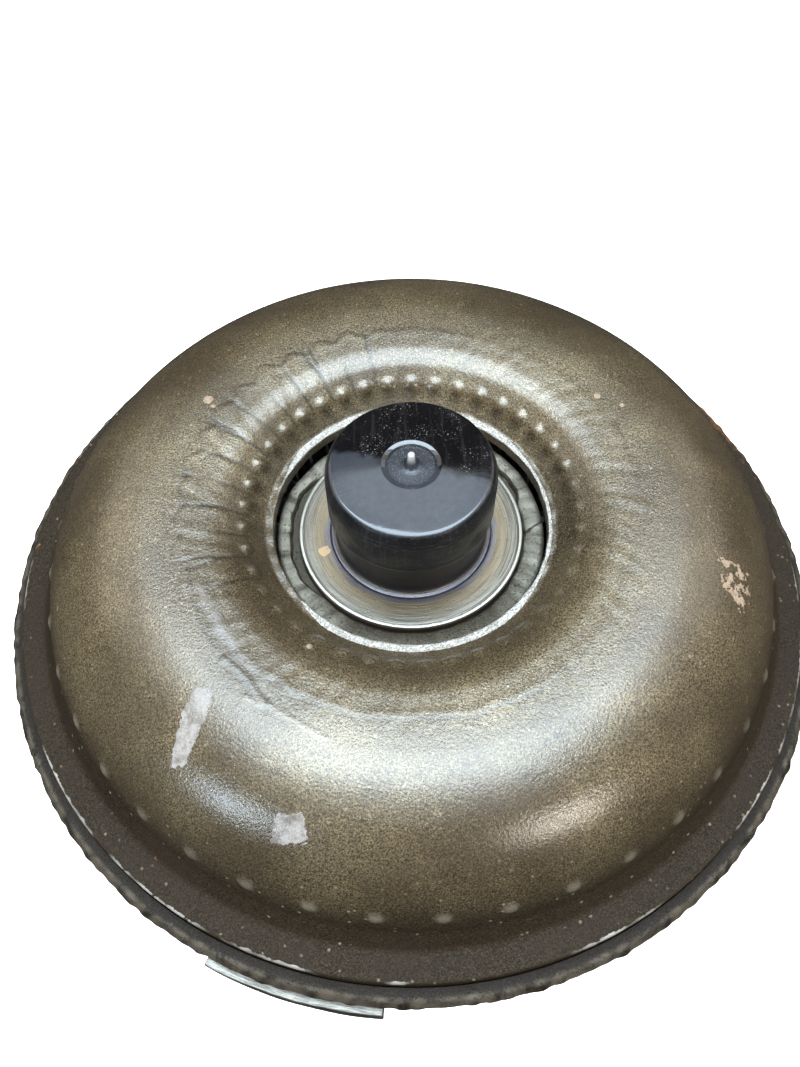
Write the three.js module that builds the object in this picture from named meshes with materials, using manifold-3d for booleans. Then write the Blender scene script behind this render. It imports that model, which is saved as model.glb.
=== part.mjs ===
// Lock-up torque converter, hub side up, standing on the drive lugs of its front cover.
// Millimetres, +Z along the shaft axis, origin on the axis in the plane of the lug faces.

import * as THREE from 'three';
import { mergeVertices } from 'three/addons/utils/BufferGeometryUtils.js';
import Module from 'manifold-3d';

const wasm = await Module();
wasm.setup();

// ---- driving dimensions ------------------------------------------------------------

const GAP = 0.3; // between pieces that touch on the real converter
const FINE = 40; // facets round the housing
const COARSE = 32; // facets round the inner parts
const SMALL = 20; // facets round the bearings and races

const RIM_WELD_Z = 52; // middle of the weld bead that closes the housing
const RIM_WELD_R = 136;

const SHELL_T = 4; // impeller shell
const TORUS_R = 80; // radius of the crest of the torus
const TORUS_Z = 60;
const TORUS_A = 39.5; // outer radius of the shell's section
const LIP_R = 43.5; // shell's inner edge, round the hub weld
const LIP_Z = 87;
const FLANGE_Z = 60.2; // top of the shell's outer flange
const SKIRT_R = 130.6;
const SKIRT_Z = 38;

const COVER_T = 4;
const COVER_R = 134;
const COVER_WALL = COVER_R - SKIRT_R - GAP;
const COVER_TOP_Z = 50;
const COVER_FACE_Z = 10; // outer face of the cover, where the lugs are welded
const COVER_CENTRE_Z = 8;
const COVER_CORNER = 16;

const LUG_COUNT = 6;
const LUG_CIRCLE_R = 106;
const LUG_R = 12;
const LUG_HOLE_R = 4.3; // M10 tapping size
const PILOT_R = 16;
const PILOT_Z = 2;

const WEIGHT_FROM = 244; // degrees, where the balance weight starts and ends
const WEIGHT_TO = 266;
const WEIGHT_R = 138;

const HUB_R = 23.8; // 1.875 inch pump hub
const HUB_BORE_R = 18.5;
const HUB_END_Z = 113;
const HUB_FLANGE_R = 36;
const HUB_FLANGE_Z = 82;
const HUB_FLANGE_T = 5;
const SLOT_WIDTH = 9;
const SLOT_DEPTH = 10;

const CAP_R = 25.6;
const CAP_SKIRT_Z = 98;
const CAP_TOP_Z = 116.5;
const CAP_NUB_Z = 121.5;

const CORE_A = 15; // outer radius of both core rings' section
const CORE_T = 1.2;
const MIDPLANE_Z = 59; // between impeller and turbine
const RUNNING = 1.5; // each core ring's distance from that plane
const IMPELLER_VANES = 41;
const TURBINE_VANES = 31;
const VANE_T = 1.2;
const VANE_INNER_R = 47.5;
const STATOR_HALF_WIDTH = 9;
const VANE_EDGE = STATOR_HALF_WIDTH + 1.5; // vane edges beside the stator, from the midplane

const TURBINE_A = 34.5;
const TURBINE_T = 1.6;
const TURBINE_FLAT_Z = 37; // flat of the turbine shell, riveted under the hub flange
const TURBINE_HUB_R = 20;
const TURBINE_HUB_BOTTOM_Z = 15.2;
const TURBINE_FLANGE_Z = 41.5;
const TURBINE_FLANGE_R = 44;
const RIVET_COUNT = 6;
const RIVET_CIRCLE_R = 40;
const RIVET_R = 2.2;

const PISTON_Z = 15.9;
const PISTON_T = 2.2;
const PISTON_R = 122.5;
const LINING_INNER_R = 90;
const LINING_OUTER_R = 112;

const SPRING_COUNT = 6;
const SPRING_CIRCLE_R = 112;
const SPRING_Z = 27.5;
const SPRING_COIL_R = 4.8;
const SPRING_WIRE_R = 1.2;
const SPRING_LENGTH = 42;
const SPRING_TURNS = 5;
const RETAINER_Z = 19.7;
const RETAINER_T = 1.3;

const STATOR_BLADES = 17;
const STATOR_RING_R = 44;
const STATOR_BORE_R = 37.8;
const SHROUD_R = 64;
const RACE_INNER_R = 22;
const RACE_CAM_R = 29.3;
const ROLLER_COUNT = 8;
const ROLLER_R = 3;
const STATOR_SPLINE_R = 15.5;
const TURBINE_SPLINE_R = 11;
const SPLINE_DEPTH = 1.2;
const STATOR_TEETH = 16;
const TURBINE_TEETH = 12;

// ---- materials -----------------------------------------------------------------------

function finish(color, roughness, metalness) {
  return () => new THREE.MeshStandardMaterial({ color, roughness, metalness });
}

const housingPaint = finish(0x5b5546, 0.42, 0.5);
const weldMetal = finish(0x6d6a60, 0.55, 0.6);
const machinedSteel = finish(0xa59d8c, 0.32, 1);
const bareSteel = finish(0x8f8a82, 0.4, 1);
const springSteel = finish(0x4c4a48, 0.4, 0.9);
const castAluminium = finish(0xb4b5b6, 0.5, 1);
const frictionPaper = finish(0x5a4636, 0.9, 0);
const washerPlastic = finish(0x2f2d2a, 0.6, 0);
const blackRubber = finish(0x141416, 0.35, 0);

// ---- shapes ----------------------------------------------------------------------------

const radians = THREE.MathUtils.degToRad;

// Points on a circular arc in the (radius, height) plane, from one angle to another.
function arc(centreR, centreZ, radius, fromDeg, toDeg, steps) {
  const points = [];
  for (let i = 0; i <= steps; i += 1) {
    const a = radians(fromDeg + ((toDeg - fromDeg) * i) / steps);
    points.push([centreR + radius * Math.cos(a), centreZ + radius * Math.sin(a)]);
  }
  return points;
}

// Welds shared corners, drops triangles with no area and turns the faces outwards.
function closed(geometry) {
  const bare = geometry.clone();
  bare.deleteAttribute('normal');
  bare.deleteAttribute('uv');
  const welded = mergeVertices(bare, 1e-4);
  const position = welded.attributes.position;
  const corners = [];
  const a = new THREE.Vector3();
  const b = new THREE.Vector3();
  const c = new THREE.Vector3();
  let volume = 0;
  for (let i = 0; i < welded.index.count; i += 3) {
    const [p, q, r] = [0, 1, 2].map((k) => welded.index.getX(i + k));
    if (p === q || q === r || r === p) continue;
    corners.push(p, q, r);
    a.fromBufferAttribute(position, p);
    b.fromBufferAttribute(position, q);
    c.fromBufferAttribute(position, r);
    volume += a.dot(b.cross(c));
  }
  if (volume < 0) corners.reverse();
  welded.setIndex(new THREE.BufferAttribute(new Uint32Array(corners), 1));
  return welded;
}

// Turns a (radius, height) outline round the Z axis. It ends on the axis or is closed here.
function revolve(outline, facets) {
  const points = outline.map(([r, z]) => new THREE.Vector2(r, z));
  if (outline[0][0] > 0) points.push(points[0].clone());
  return closed(new THREE.LatheGeometry(points, facets).rotateX(Math.PI / 2));
}

function ring(innerR, outerR, bottom, top, facets) {
  return revolve([[innerR, bottom], [outerR, bottom], [outerR, top], [innerR, top]], facets);
}

// A flat plate with the given (radius, height) outline, standing in the XZ plane.
function standingPlate(outline, thickness) {
  const shape = new THREE.Shape(outline.map(([r, z]) => new THREE.Vector2(r, z)));
  const plate = new THREE.ExtrudeGeometry(shape, { depth: thickness, bevelEnabled: false });
  return closed(plate.rotateX(Math.PI / 2).translate(0, thickness / 2, 0));
}

function block(x, y, z, cx, cy, cz) {
  return closed(new THREE.BoxGeometry(x, y, z).translate(cx, cy, cz));
}

function rod(radius, bottom, top, facets) {
  const cylinder = new THREE.CylinderGeometry(radius, radius, top - bottom, facets);
  return closed(cylinder.rotateX(Math.PI / 2).translate(0, 0, (bottom + top) / 2));
}

// A rod whose section is a ring of pointed teeth: the cutter for a splined bore.
function splineCutter(rootR, teeth, bottom, top) {
  const shape = new THREE.Shape();
  for (let i = 0; i < 2 * teeth; i += 1) {
    const r = i % 2 ? rootR + SPLINE_DEPTH : rootR;
    const a = (Math.PI * i) / teeth;
    if (i === 0) shape.moveTo(r * Math.cos(a), r * Math.sin(a));
    else shape.lineTo(r * Math.cos(a), r * Math.sin(a));
  }
  const depth = top - bottom;
  return closed(new THREE.ExtrudeGeometry(shape, { depth, bevelEnabled: false }).translate(0, 0, bottom));
}

function turned(geometry, degrees) {
  return geometry.clone().rotateZ(radians(degrees));
}

// The same shape placed `count` times round the axis.
function aroundAxis(geometry, count, first = 0) {
  return Array.from({ length: count }, (_, i) => turned(geometry, first + (360 * i) / count));
}

function asSolid(geometry) {
  const vertProperties = geometry.attributes.position.array;
  const triVerts = new Uint32Array(geometry.index.array);
  return new wasm.Manifold(new wasm.Mesh({ numProp: 3, vertProperties, triVerts }));
}

function asGeometry(solid) {
  const mesh = solid.getMesh();
  const geometry = new THREE.BufferGeometry();
  geometry.setAttribute('position', new THREE.BufferAttribute(new Float32Array(mesh.vertProperties), 3));
  geometry.setIndex(new THREE.BufferAttribute(new Uint32Array(mesh.triVerts), 1));
  return geometry;
}

function joined(first, others) {
  let solid = asSolid(first);
  for (const other of others) solid = solid.add(asSolid(other));
  return asGeometry(solid);
}

function cut(first, cutters) {
  let solid = asSolid(first);
  for (const cutter of cutters) solid = solid.subtract(asSolid(cutter));
  return asGeometry(solid);
}

// ---- the assembly ------------------------------------------------------------------------

const converter = new THREE.Group();

function add(name, geometry, material) {
  const mesh = new THREE.Mesh(geometry, material());
  mesh.name = name;
  converter.add(mesh);
}

function addEach(name, geometries, material) {
  geometries.forEach((geometry, i) => add(`${name}_${i + 1}`, geometry, material));
}

// ---- housing: front cover, its drive lugs, pilot, weld and balance weight ---------------

function frontCover() {
  const cornerR = COVER_R - COVER_CORNER;
  const cornerZ = COVER_FACE_Z + COVER_CORNER;
  const innerWallR = COVER_R - COVER_WALL;
  const innerCorner = innerWallR - cornerR;
  const innerFaceZ = COVER_FACE_Z + COVER_T;
  return revolve([
    [0, COVER_CENTRE_Z],
    [50, COVER_CENTRE_Z],
    [60, COVER_FACE_Z],
    ...arc(cornerR, cornerZ, COVER_CORNER, -90, 0, 3),
    [COVER_R, COVER_TOP_Z],
    [innerWallR, COVER_TOP_Z],
    ...arc(cornerR, innerFaceZ + innerCorner, innerCorner, 0, -90, 3),
    [60, innerFaceZ],
    [50, COVER_CENTRE_Z + COVER_T],
    [0, COVER_CENTRE_Z + COVER_T],
  ], FINE);
}

function pilotBoss() {
  const top = COVER_CENTRE_Z - GAP;
  return revolve([
    [0, PILOT_Z],
    [PILOT_R - 1.5, PILOT_Z],
    [PILOT_R, PILOT_Z + 1.5],
    [PILOT_R, top - 1.5],
    [PILOT_R + 3, top],
    [0, top],
  ], SMALL);
}

// A round pad with a tapped hole through it.
function driveLug() {
  const lug = ring(LUG_HOLE_R, LUG_R, 0, COVER_FACE_Z - GAP, 16);
  return lug.translate(LUG_CIRCLE_R, 0, 0);
}

function rimWeldBead() {
  const inner = SKIRT_R + GAP;
  return revolve([
    [inner, COVER_TOP_Z + GAP],
    [RIM_WELD_R - 1.2, COVER_TOP_Z + GAP],
    [RIM_WELD_R, RIM_WELD_Z],
    [RIM_WELD_R - 1.4, RIM_WELD_Z + 2.2],
    [inner, RIM_WELD_Z + 3.4],
  ], FINE);
}

// A flat strip bent round the cover wall, just below the weld.
function balanceWeight() {
  const inner = COVER_R + GAP;
  const section = [[inner, 38], [WEIGHT_R, 38], [WEIGHT_R, 48.4], [inner, 48.4]];
  const points = [...section, section[0]].map(([r, z]) => new THREE.Vector2(r, z));
  const sweep = radians(WEIGHT_TO - WEIGHT_FROM);
  const strip = new THREE.LatheGeometry(points, 4, 0, sweep).rotateX(Math.PI / 2);
  strip.deleteAttribute('normal');
  strip.deleteAttribute('uv');
  const steps = 5;
  const corners = Array.from(strip.index.array);
  const last = (steps - 1) * section.length + steps - 1;
  corners.push(0, 1, 2, 0, 2, 3);
  corners.push(last, last + 2, last + 1, last, last + 3, last + 2);
  strip.setIndex(corners);
  return turned(closed(strip), WEIGHT_FROM + 90);
}

// ---- housing: impeller shell, hub and vanes ----------------------------------------------

function impellerShell() {
  const inside = TORUS_A - SHELL_T;
  const skirtInside = SKIRT_R - SHELL_T;
  return revolve([
    [LIP_R, LIP_Z],
    [46.5, LIP_Z + 0.3],
    [52, 91.6],
    [67, 97.3],
    ...arc(TORUS_R, TORUS_Z, TORUS_A, 90, 10, 6),
    [122.5, 61],
    [SKIRT_R - 1.4, FLANGE_Z],
    [SKIRT_R, FLANGE_Z - 1.4],
    [SKIRT_R, SKIRT_Z],
    [skirtInside, SKIRT_Z],
    [skirtInside, FLANGE_Z - SHELL_T],
    [118, FLANGE_Z - SHELL_T],
    ...arc(TORUS_R, TORUS_Z, inside, 6, 90, 5),
    [67.6, 93.4],
    [53.6, 87.8],
    [47.5, LIP_Z - SHELL_T],
    [LIP_R, LIP_Z - SHELL_T],
  ], FINE);
}

// Flange and tube in one forging, with two slots across the end that drive the oil pump.
function impellerHub() {
  const flangeBottom = HUB_FLANGE_Z - HUB_FLANGE_T;
  const body = revolve([
    [HUB_BORE_R, flangeBottom],
    [HUB_FLANGE_R, flangeBottom],
    [HUB_FLANGE_R, HUB_FLANGE_Z - 0.6],
    [HUB_FLANGE_R - 0.6, HUB_FLANGE_Z],
    [HUB_R + 1.8, HUB_FLANGE_Z],
    [HUB_R + 0.5, HUB_FLANGE_Z + 0.5],
    [HUB_R, HUB_FLANGE_Z + 1.8],
    [HUB_R, HUB_END_Z - 1],
    [HUB_R - 1, HUB_END_Z],
    [HUB_BORE_R, HUB_END_Z],
  ], FINE);
  const slots = block(4 * HUB_R, SLOT_WIDTH, 2 * SLOT_DEPTH, 0, 0, HUB_END_Z);
  return cut(body, [slots]);
}

function hubWeldBead() {
  const inner = HUB_FLANGE_R + GAP;
  const outer = LIP_R - GAP;
  return revolve([
    [inner, 78.5],
    [outer, 79.2],
    [outer, 81.4],
    [(inner + outer) / 2, 82.2],
    [inner, 80.8],
  ], FINE);
}

// Half a core ring with its vanes, drawn above the midplane. Each vane stands clear of the
// core but for one tab through its crest, and stands back from the stator at its inner edge.
function vanesWithCore(count, shellEdge) {
  const coreZ = MIDPLANE_Z + RUNNING;
  const edgeZ = MIDPLANE_Z + VANE_EDGE;
  const crestZ = coreZ + CORE_A;
  const core = revolve([
    ...arc(TORUS_R, coreZ, CORE_A, 0, 180, 3),
    ...arc(TORUS_R, coreZ, CORE_A - CORE_T, 180, 0, 3),
  ], COARSE);
  const vane = standingPlate([
    [VANE_INNER_R, edgeZ],
    [TORUS_R - CORE_A + 2, edgeZ],
    [TORUS_R - 6, crestZ + 0.6],
    [TORUS_R - 3, crestZ - 2.6],
    [TORUS_R + 3, crestZ - 2.6],
    [TORUS_R + 6, crestZ + 0.6],
    [TORUS_R + CORE_A + 1, coreZ + 1],
    ...shellEdge,
  ], VANE_T);
  return joined(core, aroundAxis(vane, count, 180 / count));
}

function impellerVanes() {
  const reach = TORUS_A - SHELL_T - 1.2;
  const shellEdge = [
    [TORUS_R + reach, MIDPLANE_Z + RUNNING + 1],
    ...arc(TORUS_R, TORUS_Z, reach, 36, 90, 2),
    [53.6, 86.6],
    [VANE_INNER_R, 82],
  ];
  return vanesWithCore(IMPELLER_VANES, shellEdge);
}

// ---- turbine ------------------------------------------------------------------------------

function turbineShell() {
  const z = MIDPLANE_Z - RUNNING;
  const inside = TURBINE_A - TURBINE_T;
  const plate = revolve([
    ...arc(TORUS_R, z, TURBINE_A, 0, -115, 5),
    [56, TURBINE_FLAT_Z - 5],
    [48, TURBINE_FLAT_Z],
    [TURBINE_HUB_R + 0.5, TURBINE_FLAT_Z],
    [TURBINE_HUB_R + 0.5, TURBINE_FLAT_Z + TURBINE_T],
    [48.6, TURBINE_FLAT_Z + TURBINE_T],
    [56.8, TURBINE_FLAT_Z - 3.4],
    ...arc(TORUS_R, z, inside, -115, 0, 5),
  ], COARSE);
  return cut(plate, rivetHoles());
}

// Drawn above the midplane, then turned over below it.
function turbineVanes() {
  const reach = TURBINE_A - TURBINE_T - 1.2;
  const shellEdge = [
    [TORUS_R + reach, MIDPLANE_Z + RUNNING + 1],
    ...arc(TORUS_R, MIDPLANE_Z + RUNNING, reach, 36, 108, 3),
    [VANE_INNER_R, 77],
  ];
  return vanesWithCore(TURBINE_VANES, shellEdge).rotateX(Math.PI).translate(0, 0, 2 * MIDPLANE_Z);
}

function rivetHoles() {
  const hole = rod(RIVET_R + GAP, 30, 50, 6).translate(RIVET_CIRCLE_R, 0, 0);
  return aroundAxis(hole, RIVET_COUNT);
}

function turbineRivet() {
  const bottom = TURBINE_FLAT_Z - GAP;
  const top = TURBINE_FLANGE_Z + GAP;
  const rivet = revolve([
    [0, bottom - 1.4],
    [RIVET_R + 1.4, bottom - 1.4],
    [RIVET_R + 1.4, bottom],
    [RIVET_R, bottom],
    [RIVET_R, top],
    [RIVET_R + 1.4, top],
    [RIVET_R + 1.4, top + 1.2],
    [0, top + 1.2],
  ], 6);
  return rivet.translate(RIVET_CIRCLE_R, 0, 0);
}

function turbineHub() {
  const flangeBottom = TURBINE_FLAT_Z + TURBINE_T + GAP;
  const body = revolve([
    [0, TURBINE_HUB_BOTTOM_Z],
    [TURBINE_HUB_R - 1, TURBINE_HUB_BOTTOM_Z],
    [TURBINE_HUB_R, TURBINE_HUB_BOTTOM_Z + 1],
    [TURBINE_HUB_R, flangeBottom],
    [TURBINE_FLANGE_R, flangeBottom],
    [TURBINE_FLANGE_R, TURBINE_FLANGE_Z],
    [0, TURBINE_FLANGE_Z],
  ], COARSE);
  const spline = splineCutter(TURBINE_SPLINE_R, TURBINE_TEETH, TURBINE_HUB_BOTTOM_Z - 2, TURBINE_FLANGE_Z + 2);
  return cut(body, [spline, ...rivetHoles()]);
}

// ---- lock-up clutch and its spring damper ---------------------------------------------------

function lockupPiston() {
  const top = PISTON_Z + PISTON_T;
  return revolve([
    [TURBINE_HUB_R + 0.6, PISTON_Z],
    [PISTON_R - 2.2, PISTON_Z],
    [PISTON_R, PISTON_Z + 2.2],
    [PISTON_R, 29],
    [PISTON_R - 2.2, 29],
    [PISTON_R - 2.2, top],
    [TURBINE_HUB_R + 3, top],
    [TURBINE_HUB_R + 3, top + 6],
    [TURBINE_HUB_R + 0.6, top + 6],
  ], COARSE);
}

function frictionLining() {
  return ring(LINING_INNER_R, LINING_OUTER_R, COVER_FACE_Z + COVER_T + GAP, PISTON_Z - GAP, COARSE);
}

// Upright stops at both ends of every spring, between two radii.
function springStops(innerR, outerR, bottom, top) {
  const offset = SPRING_LENGTH / 2 + 2;
  const middle = (innerR + outerR) / 2;
  const stop = (y) => block(outerR - innerR, 2, top - bottom, middle, y, (bottom + top) / 2);
  return [...aroundAxis(stop(offset), SPRING_COUNT), ...aroundAxis(stop(-offset), SPRING_COUNT)];
}

function damperRetainer() {
  const floor = ring(103, 119.4, RETAINER_Z, RETAINER_Z + RETAINER_T, COARSE);
  const inner = springStops(103.6, 105.8, RETAINER_Z + 0.4, 32);
  return joined(floor, inner);
}

function damperDrivenPlate() {
  const band = ring(108.6, 112.6, 36.2, 38, COARSE);
  return joined(band, springStops(107.4, 113.6, 23, 37));
}

// One coil of the damper: round wire on a straight helix, lying along the circle of springs.
class SpringPath extends THREE.Curve {
  getPoint(t, target = new THREE.Vector3()) {
    const a = 2 * Math.PI * SPRING_TURNS * t;
    const along = (t - 0.5) * (SPRING_LENGTH - 2 * SPRING_WIRE_R);
    const x = SPRING_CIRCLE_R + SPRING_COIL_R * Math.cos(a);
    return target.set(x, along, SPRING_Z + SPRING_COIL_R * Math.sin(a));
  }
}

function damperSpring() {
  const wire = new THREE.Shape();
  for (let i = 0; i < 4; i += 1) {
    const a = (Math.PI * i) / 2;
    if (i === 0) wire.moveTo(SPRING_WIRE_R, 0);
    else wire.lineTo(SPRING_WIRE_R * Math.cos(a), SPRING_WIRE_R * Math.sin(a));
  }
  const options = { steps: 5 * SPRING_TURNS, extrudePath: new SpringPath(), bevelEnabled: false };
  return closed(new THREE.ExtrudeGeometry(wire, options));
}

// ---- stator and its one-way clutch ------------------------------------------------------------

const STATOR_BOTTOM = MIDPLANE_Z - STATOR_HALF_WIDTH;
const STATOR_TOP = MIDPLANE_Z + STATOR_HALF_WIDTH;

function statorWheel() {
  const wheel = ring(STATOR_BORE_R, STATOR_RING_R, STATOR_BOTTOM, STATOR_TOP, SMALL);
  const shroud = ring(SHROUD_R - 2, SHROUD_R, STATOR_BOTTOM + 2, STATOR_TOP - 2, SMALL);
  const innerEnd = STATOR_RING_R - 1.2;
  const outerEnd = SHROUD_R - 0.9;
  const blade = new THREE.BoxGeometry(outerEnd - innerEnd, 2.4, 15).rotateX(radians(35));
  const placed = closed(blade.translate((innerEnd + outerEnd) / 2, 0, MIDPLANE_Z));
  return joined(wheel, [...aroundAxis(placed, STATOR_BLADES), shroud]);
}

function statorInnerRace() {
  const blank = rod(RACE_INNER_R, STATOR_BOTTOM + 0.6, STATOR_TOP - 0.6, SMALL);
  return cut(blank, [splineCutter(STATOR_SPLINE_R, STATOR_TEETH, STATOR_BOTTOM - 1, STATOR_TOP + 1)]);
}

function overrunRoller() {
  const r = (RACE_INNER_R + RACE_CAM_R) / 2;
  return rod(ROLLER_R, STATOR_BOTTOM + 2.6, STATOR_TOP - 2.6, 8).translate(r, 0, 0);
}

function thrustBearing(name, bottom, top) {
  const raceT = 1.6;
  add(`${name}_lower_race`, ring(25, 35, bottom, bottom + raceT, SMALL), bareSteel);
  add(`${name}_needle_cage`, ring(26, 34, bottom + raceT + 0.5, top - raceT - 0.5, SMALL), bareSteel);
  add(`${name}_upper_race`, ring(25, 35, top - raceT, top, SMALL), bareSteel);
}

// ---- shipping cap ------------------------------------------------------------------------------

function shippingCap() {
  const round = 2.8;
  const bore = HUB_R + GAP;
  const ceiling = HUB_END_Z + GAP;
  return revolve([
    [0, ceiling],
    [bore, ceiling],
    [bore, CAP_SKIRT_Z],
    [CAP_R, CAP_SKIRT_Z],
    ...arc(CAP_R - round, CAP_TOP_Z - round, round, 0, 90, 3),
    [8.6, CAP_TOP_Z],
    [6.6, CAP_TOP_Z - 1.6],
    [1.7, CAP_TOP_Z - 1.6],
    [1.1, CAP_NUB_Z],
    [0, CAP_NUB_Z],
  ], COARSE);
}

add('front_cover', frontCover(), housingPaint);
add('pilot_boss', pilotBoss(), machinedSteel);
addEach('drive_lug', aroundAxis(driveLug(), LUG_COUNT, 30), housingPaint);
add('rim_weld_bead', rimWeldBead(), weldMetal);
add('balance_weight', balanceWeight(), bareSteel);

add('impeller_shell', impellerShell(), housingPaint);
add('impeller_hub', impellerHub(), machinedSteel);
add('hub_weld_bead', hubWeldBead(), weldMetal);
add('impeller_vanes', impellerVanes(), bareSteel);

add('turbine_shell', turbineShell(), bareSteel);
add('turbine_vanes', turbineVanes(), bareSteel);
add('turbine_hub', turbineHub(), machinedSteel);
addEach('turbine_rivet', aroundAxis(turbineRivet(), RIVET_COUNT), bareSteel);

add('lockup_piston', lockupPiston(), bareSteel);
add('friction_lining', frictionLining(), frictionPaper);
add('damper_retainer', damperRetainer(), bareSteel);
add('damper_driven_plate', damperDrivenPlate(), bareSteel);
addEach('damper_spring', aroundAxis(damperSpring(), SPRING_COUNT), springSteel);

add('stator_wheel', statorWheel(), castAluminium);
add('stator_outer_race', ring(RACE_CAM_R, STATOR_BORE_R - GAP, 52, 66, SMALL), machinedSteel);
add('stator_inner_race', statorInnerRace(), machinedSteel);
addEach('overrun_roller', aroundAxis(overrunRoller(), ROLLER_COUNT), machinedSteel);
add('stator_front_retainer', ring(22.8, 37.4, STATOR_BOTTOM, 51.7, SMALL), castAluminium);
add('stator_rear_retainer', ring(22.8, 37.4, 66.3, STATOR_TOP, SMALL), castAluminium);
thrustBearing('turbine_bearing', TURBINE_FLANGE_Z + GAP, STATOR_BOTTOM - GAP);
thrustBearing('stator_bearing', STATOR_TOP + GAP, HUB_FLANGE_Z - HUB_FLANGE_T - GAP);
add('cover_thrust_washer', ring(12.5, 19, COVER_CENTRE_Z + COVER_T + GAP, 14.8, SMALL), washerPlastic);

add('shipping_cap', shippingCap(), blackRubber);

export default converter;
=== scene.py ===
"""Looks of the torque converter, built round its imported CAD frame.

Shapes are worked out in millimetres in the CAD frame: the origin lies on the shaft axis in the plane
of the drive lug faces and +Z points to the pump hub. Azimuths are degrees from +X. A mesh gets its
metres in grid_piece(), the only place where the two units meet.
"""

import math

import bpy
import numpy as np
from mathutils import Matrix, Vector


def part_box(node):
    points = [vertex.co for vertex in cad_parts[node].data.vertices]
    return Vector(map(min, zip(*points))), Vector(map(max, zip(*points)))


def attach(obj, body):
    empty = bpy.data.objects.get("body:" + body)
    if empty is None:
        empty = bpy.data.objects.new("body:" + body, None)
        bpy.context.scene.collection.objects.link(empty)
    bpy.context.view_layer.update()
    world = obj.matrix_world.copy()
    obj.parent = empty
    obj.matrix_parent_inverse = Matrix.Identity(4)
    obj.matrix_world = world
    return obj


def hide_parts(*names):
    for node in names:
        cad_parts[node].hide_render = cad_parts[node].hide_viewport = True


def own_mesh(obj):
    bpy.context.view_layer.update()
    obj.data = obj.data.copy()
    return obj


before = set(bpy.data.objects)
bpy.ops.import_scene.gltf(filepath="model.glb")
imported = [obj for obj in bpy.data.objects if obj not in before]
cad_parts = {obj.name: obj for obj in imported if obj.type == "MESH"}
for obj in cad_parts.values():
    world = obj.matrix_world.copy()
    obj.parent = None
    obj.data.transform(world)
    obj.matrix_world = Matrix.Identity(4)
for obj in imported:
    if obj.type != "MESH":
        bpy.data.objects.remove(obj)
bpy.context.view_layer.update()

MM = 0.001
SHARP_ANGLE = 38  # degrees between faces above which an edge is shaded sharp


# ---- sizes taken from the frame -------------------------------------------------------------


def low_mm(node):
    return np.array(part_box(node)[0]) / MM


def high_mm(node):
    return np.array(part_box(node)[1]) / MM


SHELL_TOP = high_mm("impeller_shell")[2]
SHELL_BOTTOM = low_mm("impeller_shell")[2]
SKIRT_R = high_mm("impeller_shell")[0]
BEAD_R = high_mm("rim_weld_bead")[0]
BEAD_BOTTOM = low_mm("rim_weld_bead")[2]
BEAD_TOP = high_mm("rim_weld_bead")[2]
COVER_R = high_mm("front_cover")[0]
COVER_TOP = high_mm("front_cover")[2]
COVER_BOTTOM = low_mm("front_cover")[2]
LUG_TOP = high_mm("drive_lug_1")[2]
PILOT_TOP = high_mm("pilot_boss")[2]
PILOT_BOTTOM = low_mm("pilot_boss")[2]
HUB_FLANGE_R = high_mm("impeller_hub")[0]
HUB_BOTTOM = low_mm("impeller_hub")[2]
HUB_END = high_mm("impeller_hub")[2]
HUB_BEAD_R = high_mm("hub_weld_bead")[0]
HUB_BEAD_BOTTOM = low_mm("hub_weld_bead")[2]
HUB_BEAD_TOP = high_mm("hub_weld_bead")[2]
CAP_R = high_mm("shipping_cap")[0]
CAP_BOTTOM = low_mm("shipping_cap")[2]
NUB_TOP = high_mm("shipping_cap")[2]
WEIGHT_TOP = high_mm("balance_weight")[2]
WEIGHT_BOTTOM = low_mm("balance_weight")[2]

# ---- driving dimensions that the frame's boxes don't say ---------------------------------------

SHELL_THICKNESS = 4.0
TORUS_R = 80.0  # radius of the torus crest
TORUS_SECTION_R = 39.5
TORUS_CENTRE_Z = SHELL_TOP - TORUS_SECTION_R
LIP_R = 43.5
LIP_Z = SHELL_TOP - 12.5
FLANGE_Z = TORUS_CENTRE_Z + 0.2

DIMPLES = 41
DIMPLE_PHASE = 89.0
INNER_DIMPLE_R = 52.0
OUTER_DIMPLE_R = 116.6

# points round each turned piece, and ripples round each weld
SHELL_COLUMNS = 15 * DIMPLES
RIM_WELD_COLUMNS = 960
RIM_WELD_RIPPLES = 400
HUB_WELD_COLUMNS = 720
HUB_WELD_RIPPLES = 150
HUB_COLUMNS = 288
CAP_COLUMNS = 224
COVER_COLUMNS = 300
PILOT_COLUMNS = 128
LUG_COLUMNS = 64
LUG_WELD_COLUMNS = 132
LUG_WELD_RIPPLES = 44

HUB_FLANGE_Z = 82.0
TUBE_R = 23.8
BORE_R = 18.5
SLOT_WIDTH = 9.0
SLOT_DEPTH = 10.0
HUB_SPOT = (-27.6, -8.4, 1.9)  # x, y and radius of a dried spot on the flange

CAP_TOP = NUB_TOP - 5.0
CAP_CEILING = CAP_TOP - 3.2
CAP_BORE_R = CAP_R - 1.5

LUG_COUNT = 6
LUG_R = 12.0
LUG_HOLE_R = 4.3
LUG_THREAD = 1.5
PILOT_R = 16.0

SPRING_COUNT = 6
SPRING_CIRCLE_R = 112.0
SPRING_COIL_R = 4.7
SPRING_LENGTH = 42.0
SPRING_Z = 27.5

WEIGHT_FROM, WEIGHT_TO = 244.0, 266.0
WEIGHT_R = 138.0


# ---- curves and grids --------------------------------------------------------------------------


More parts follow.
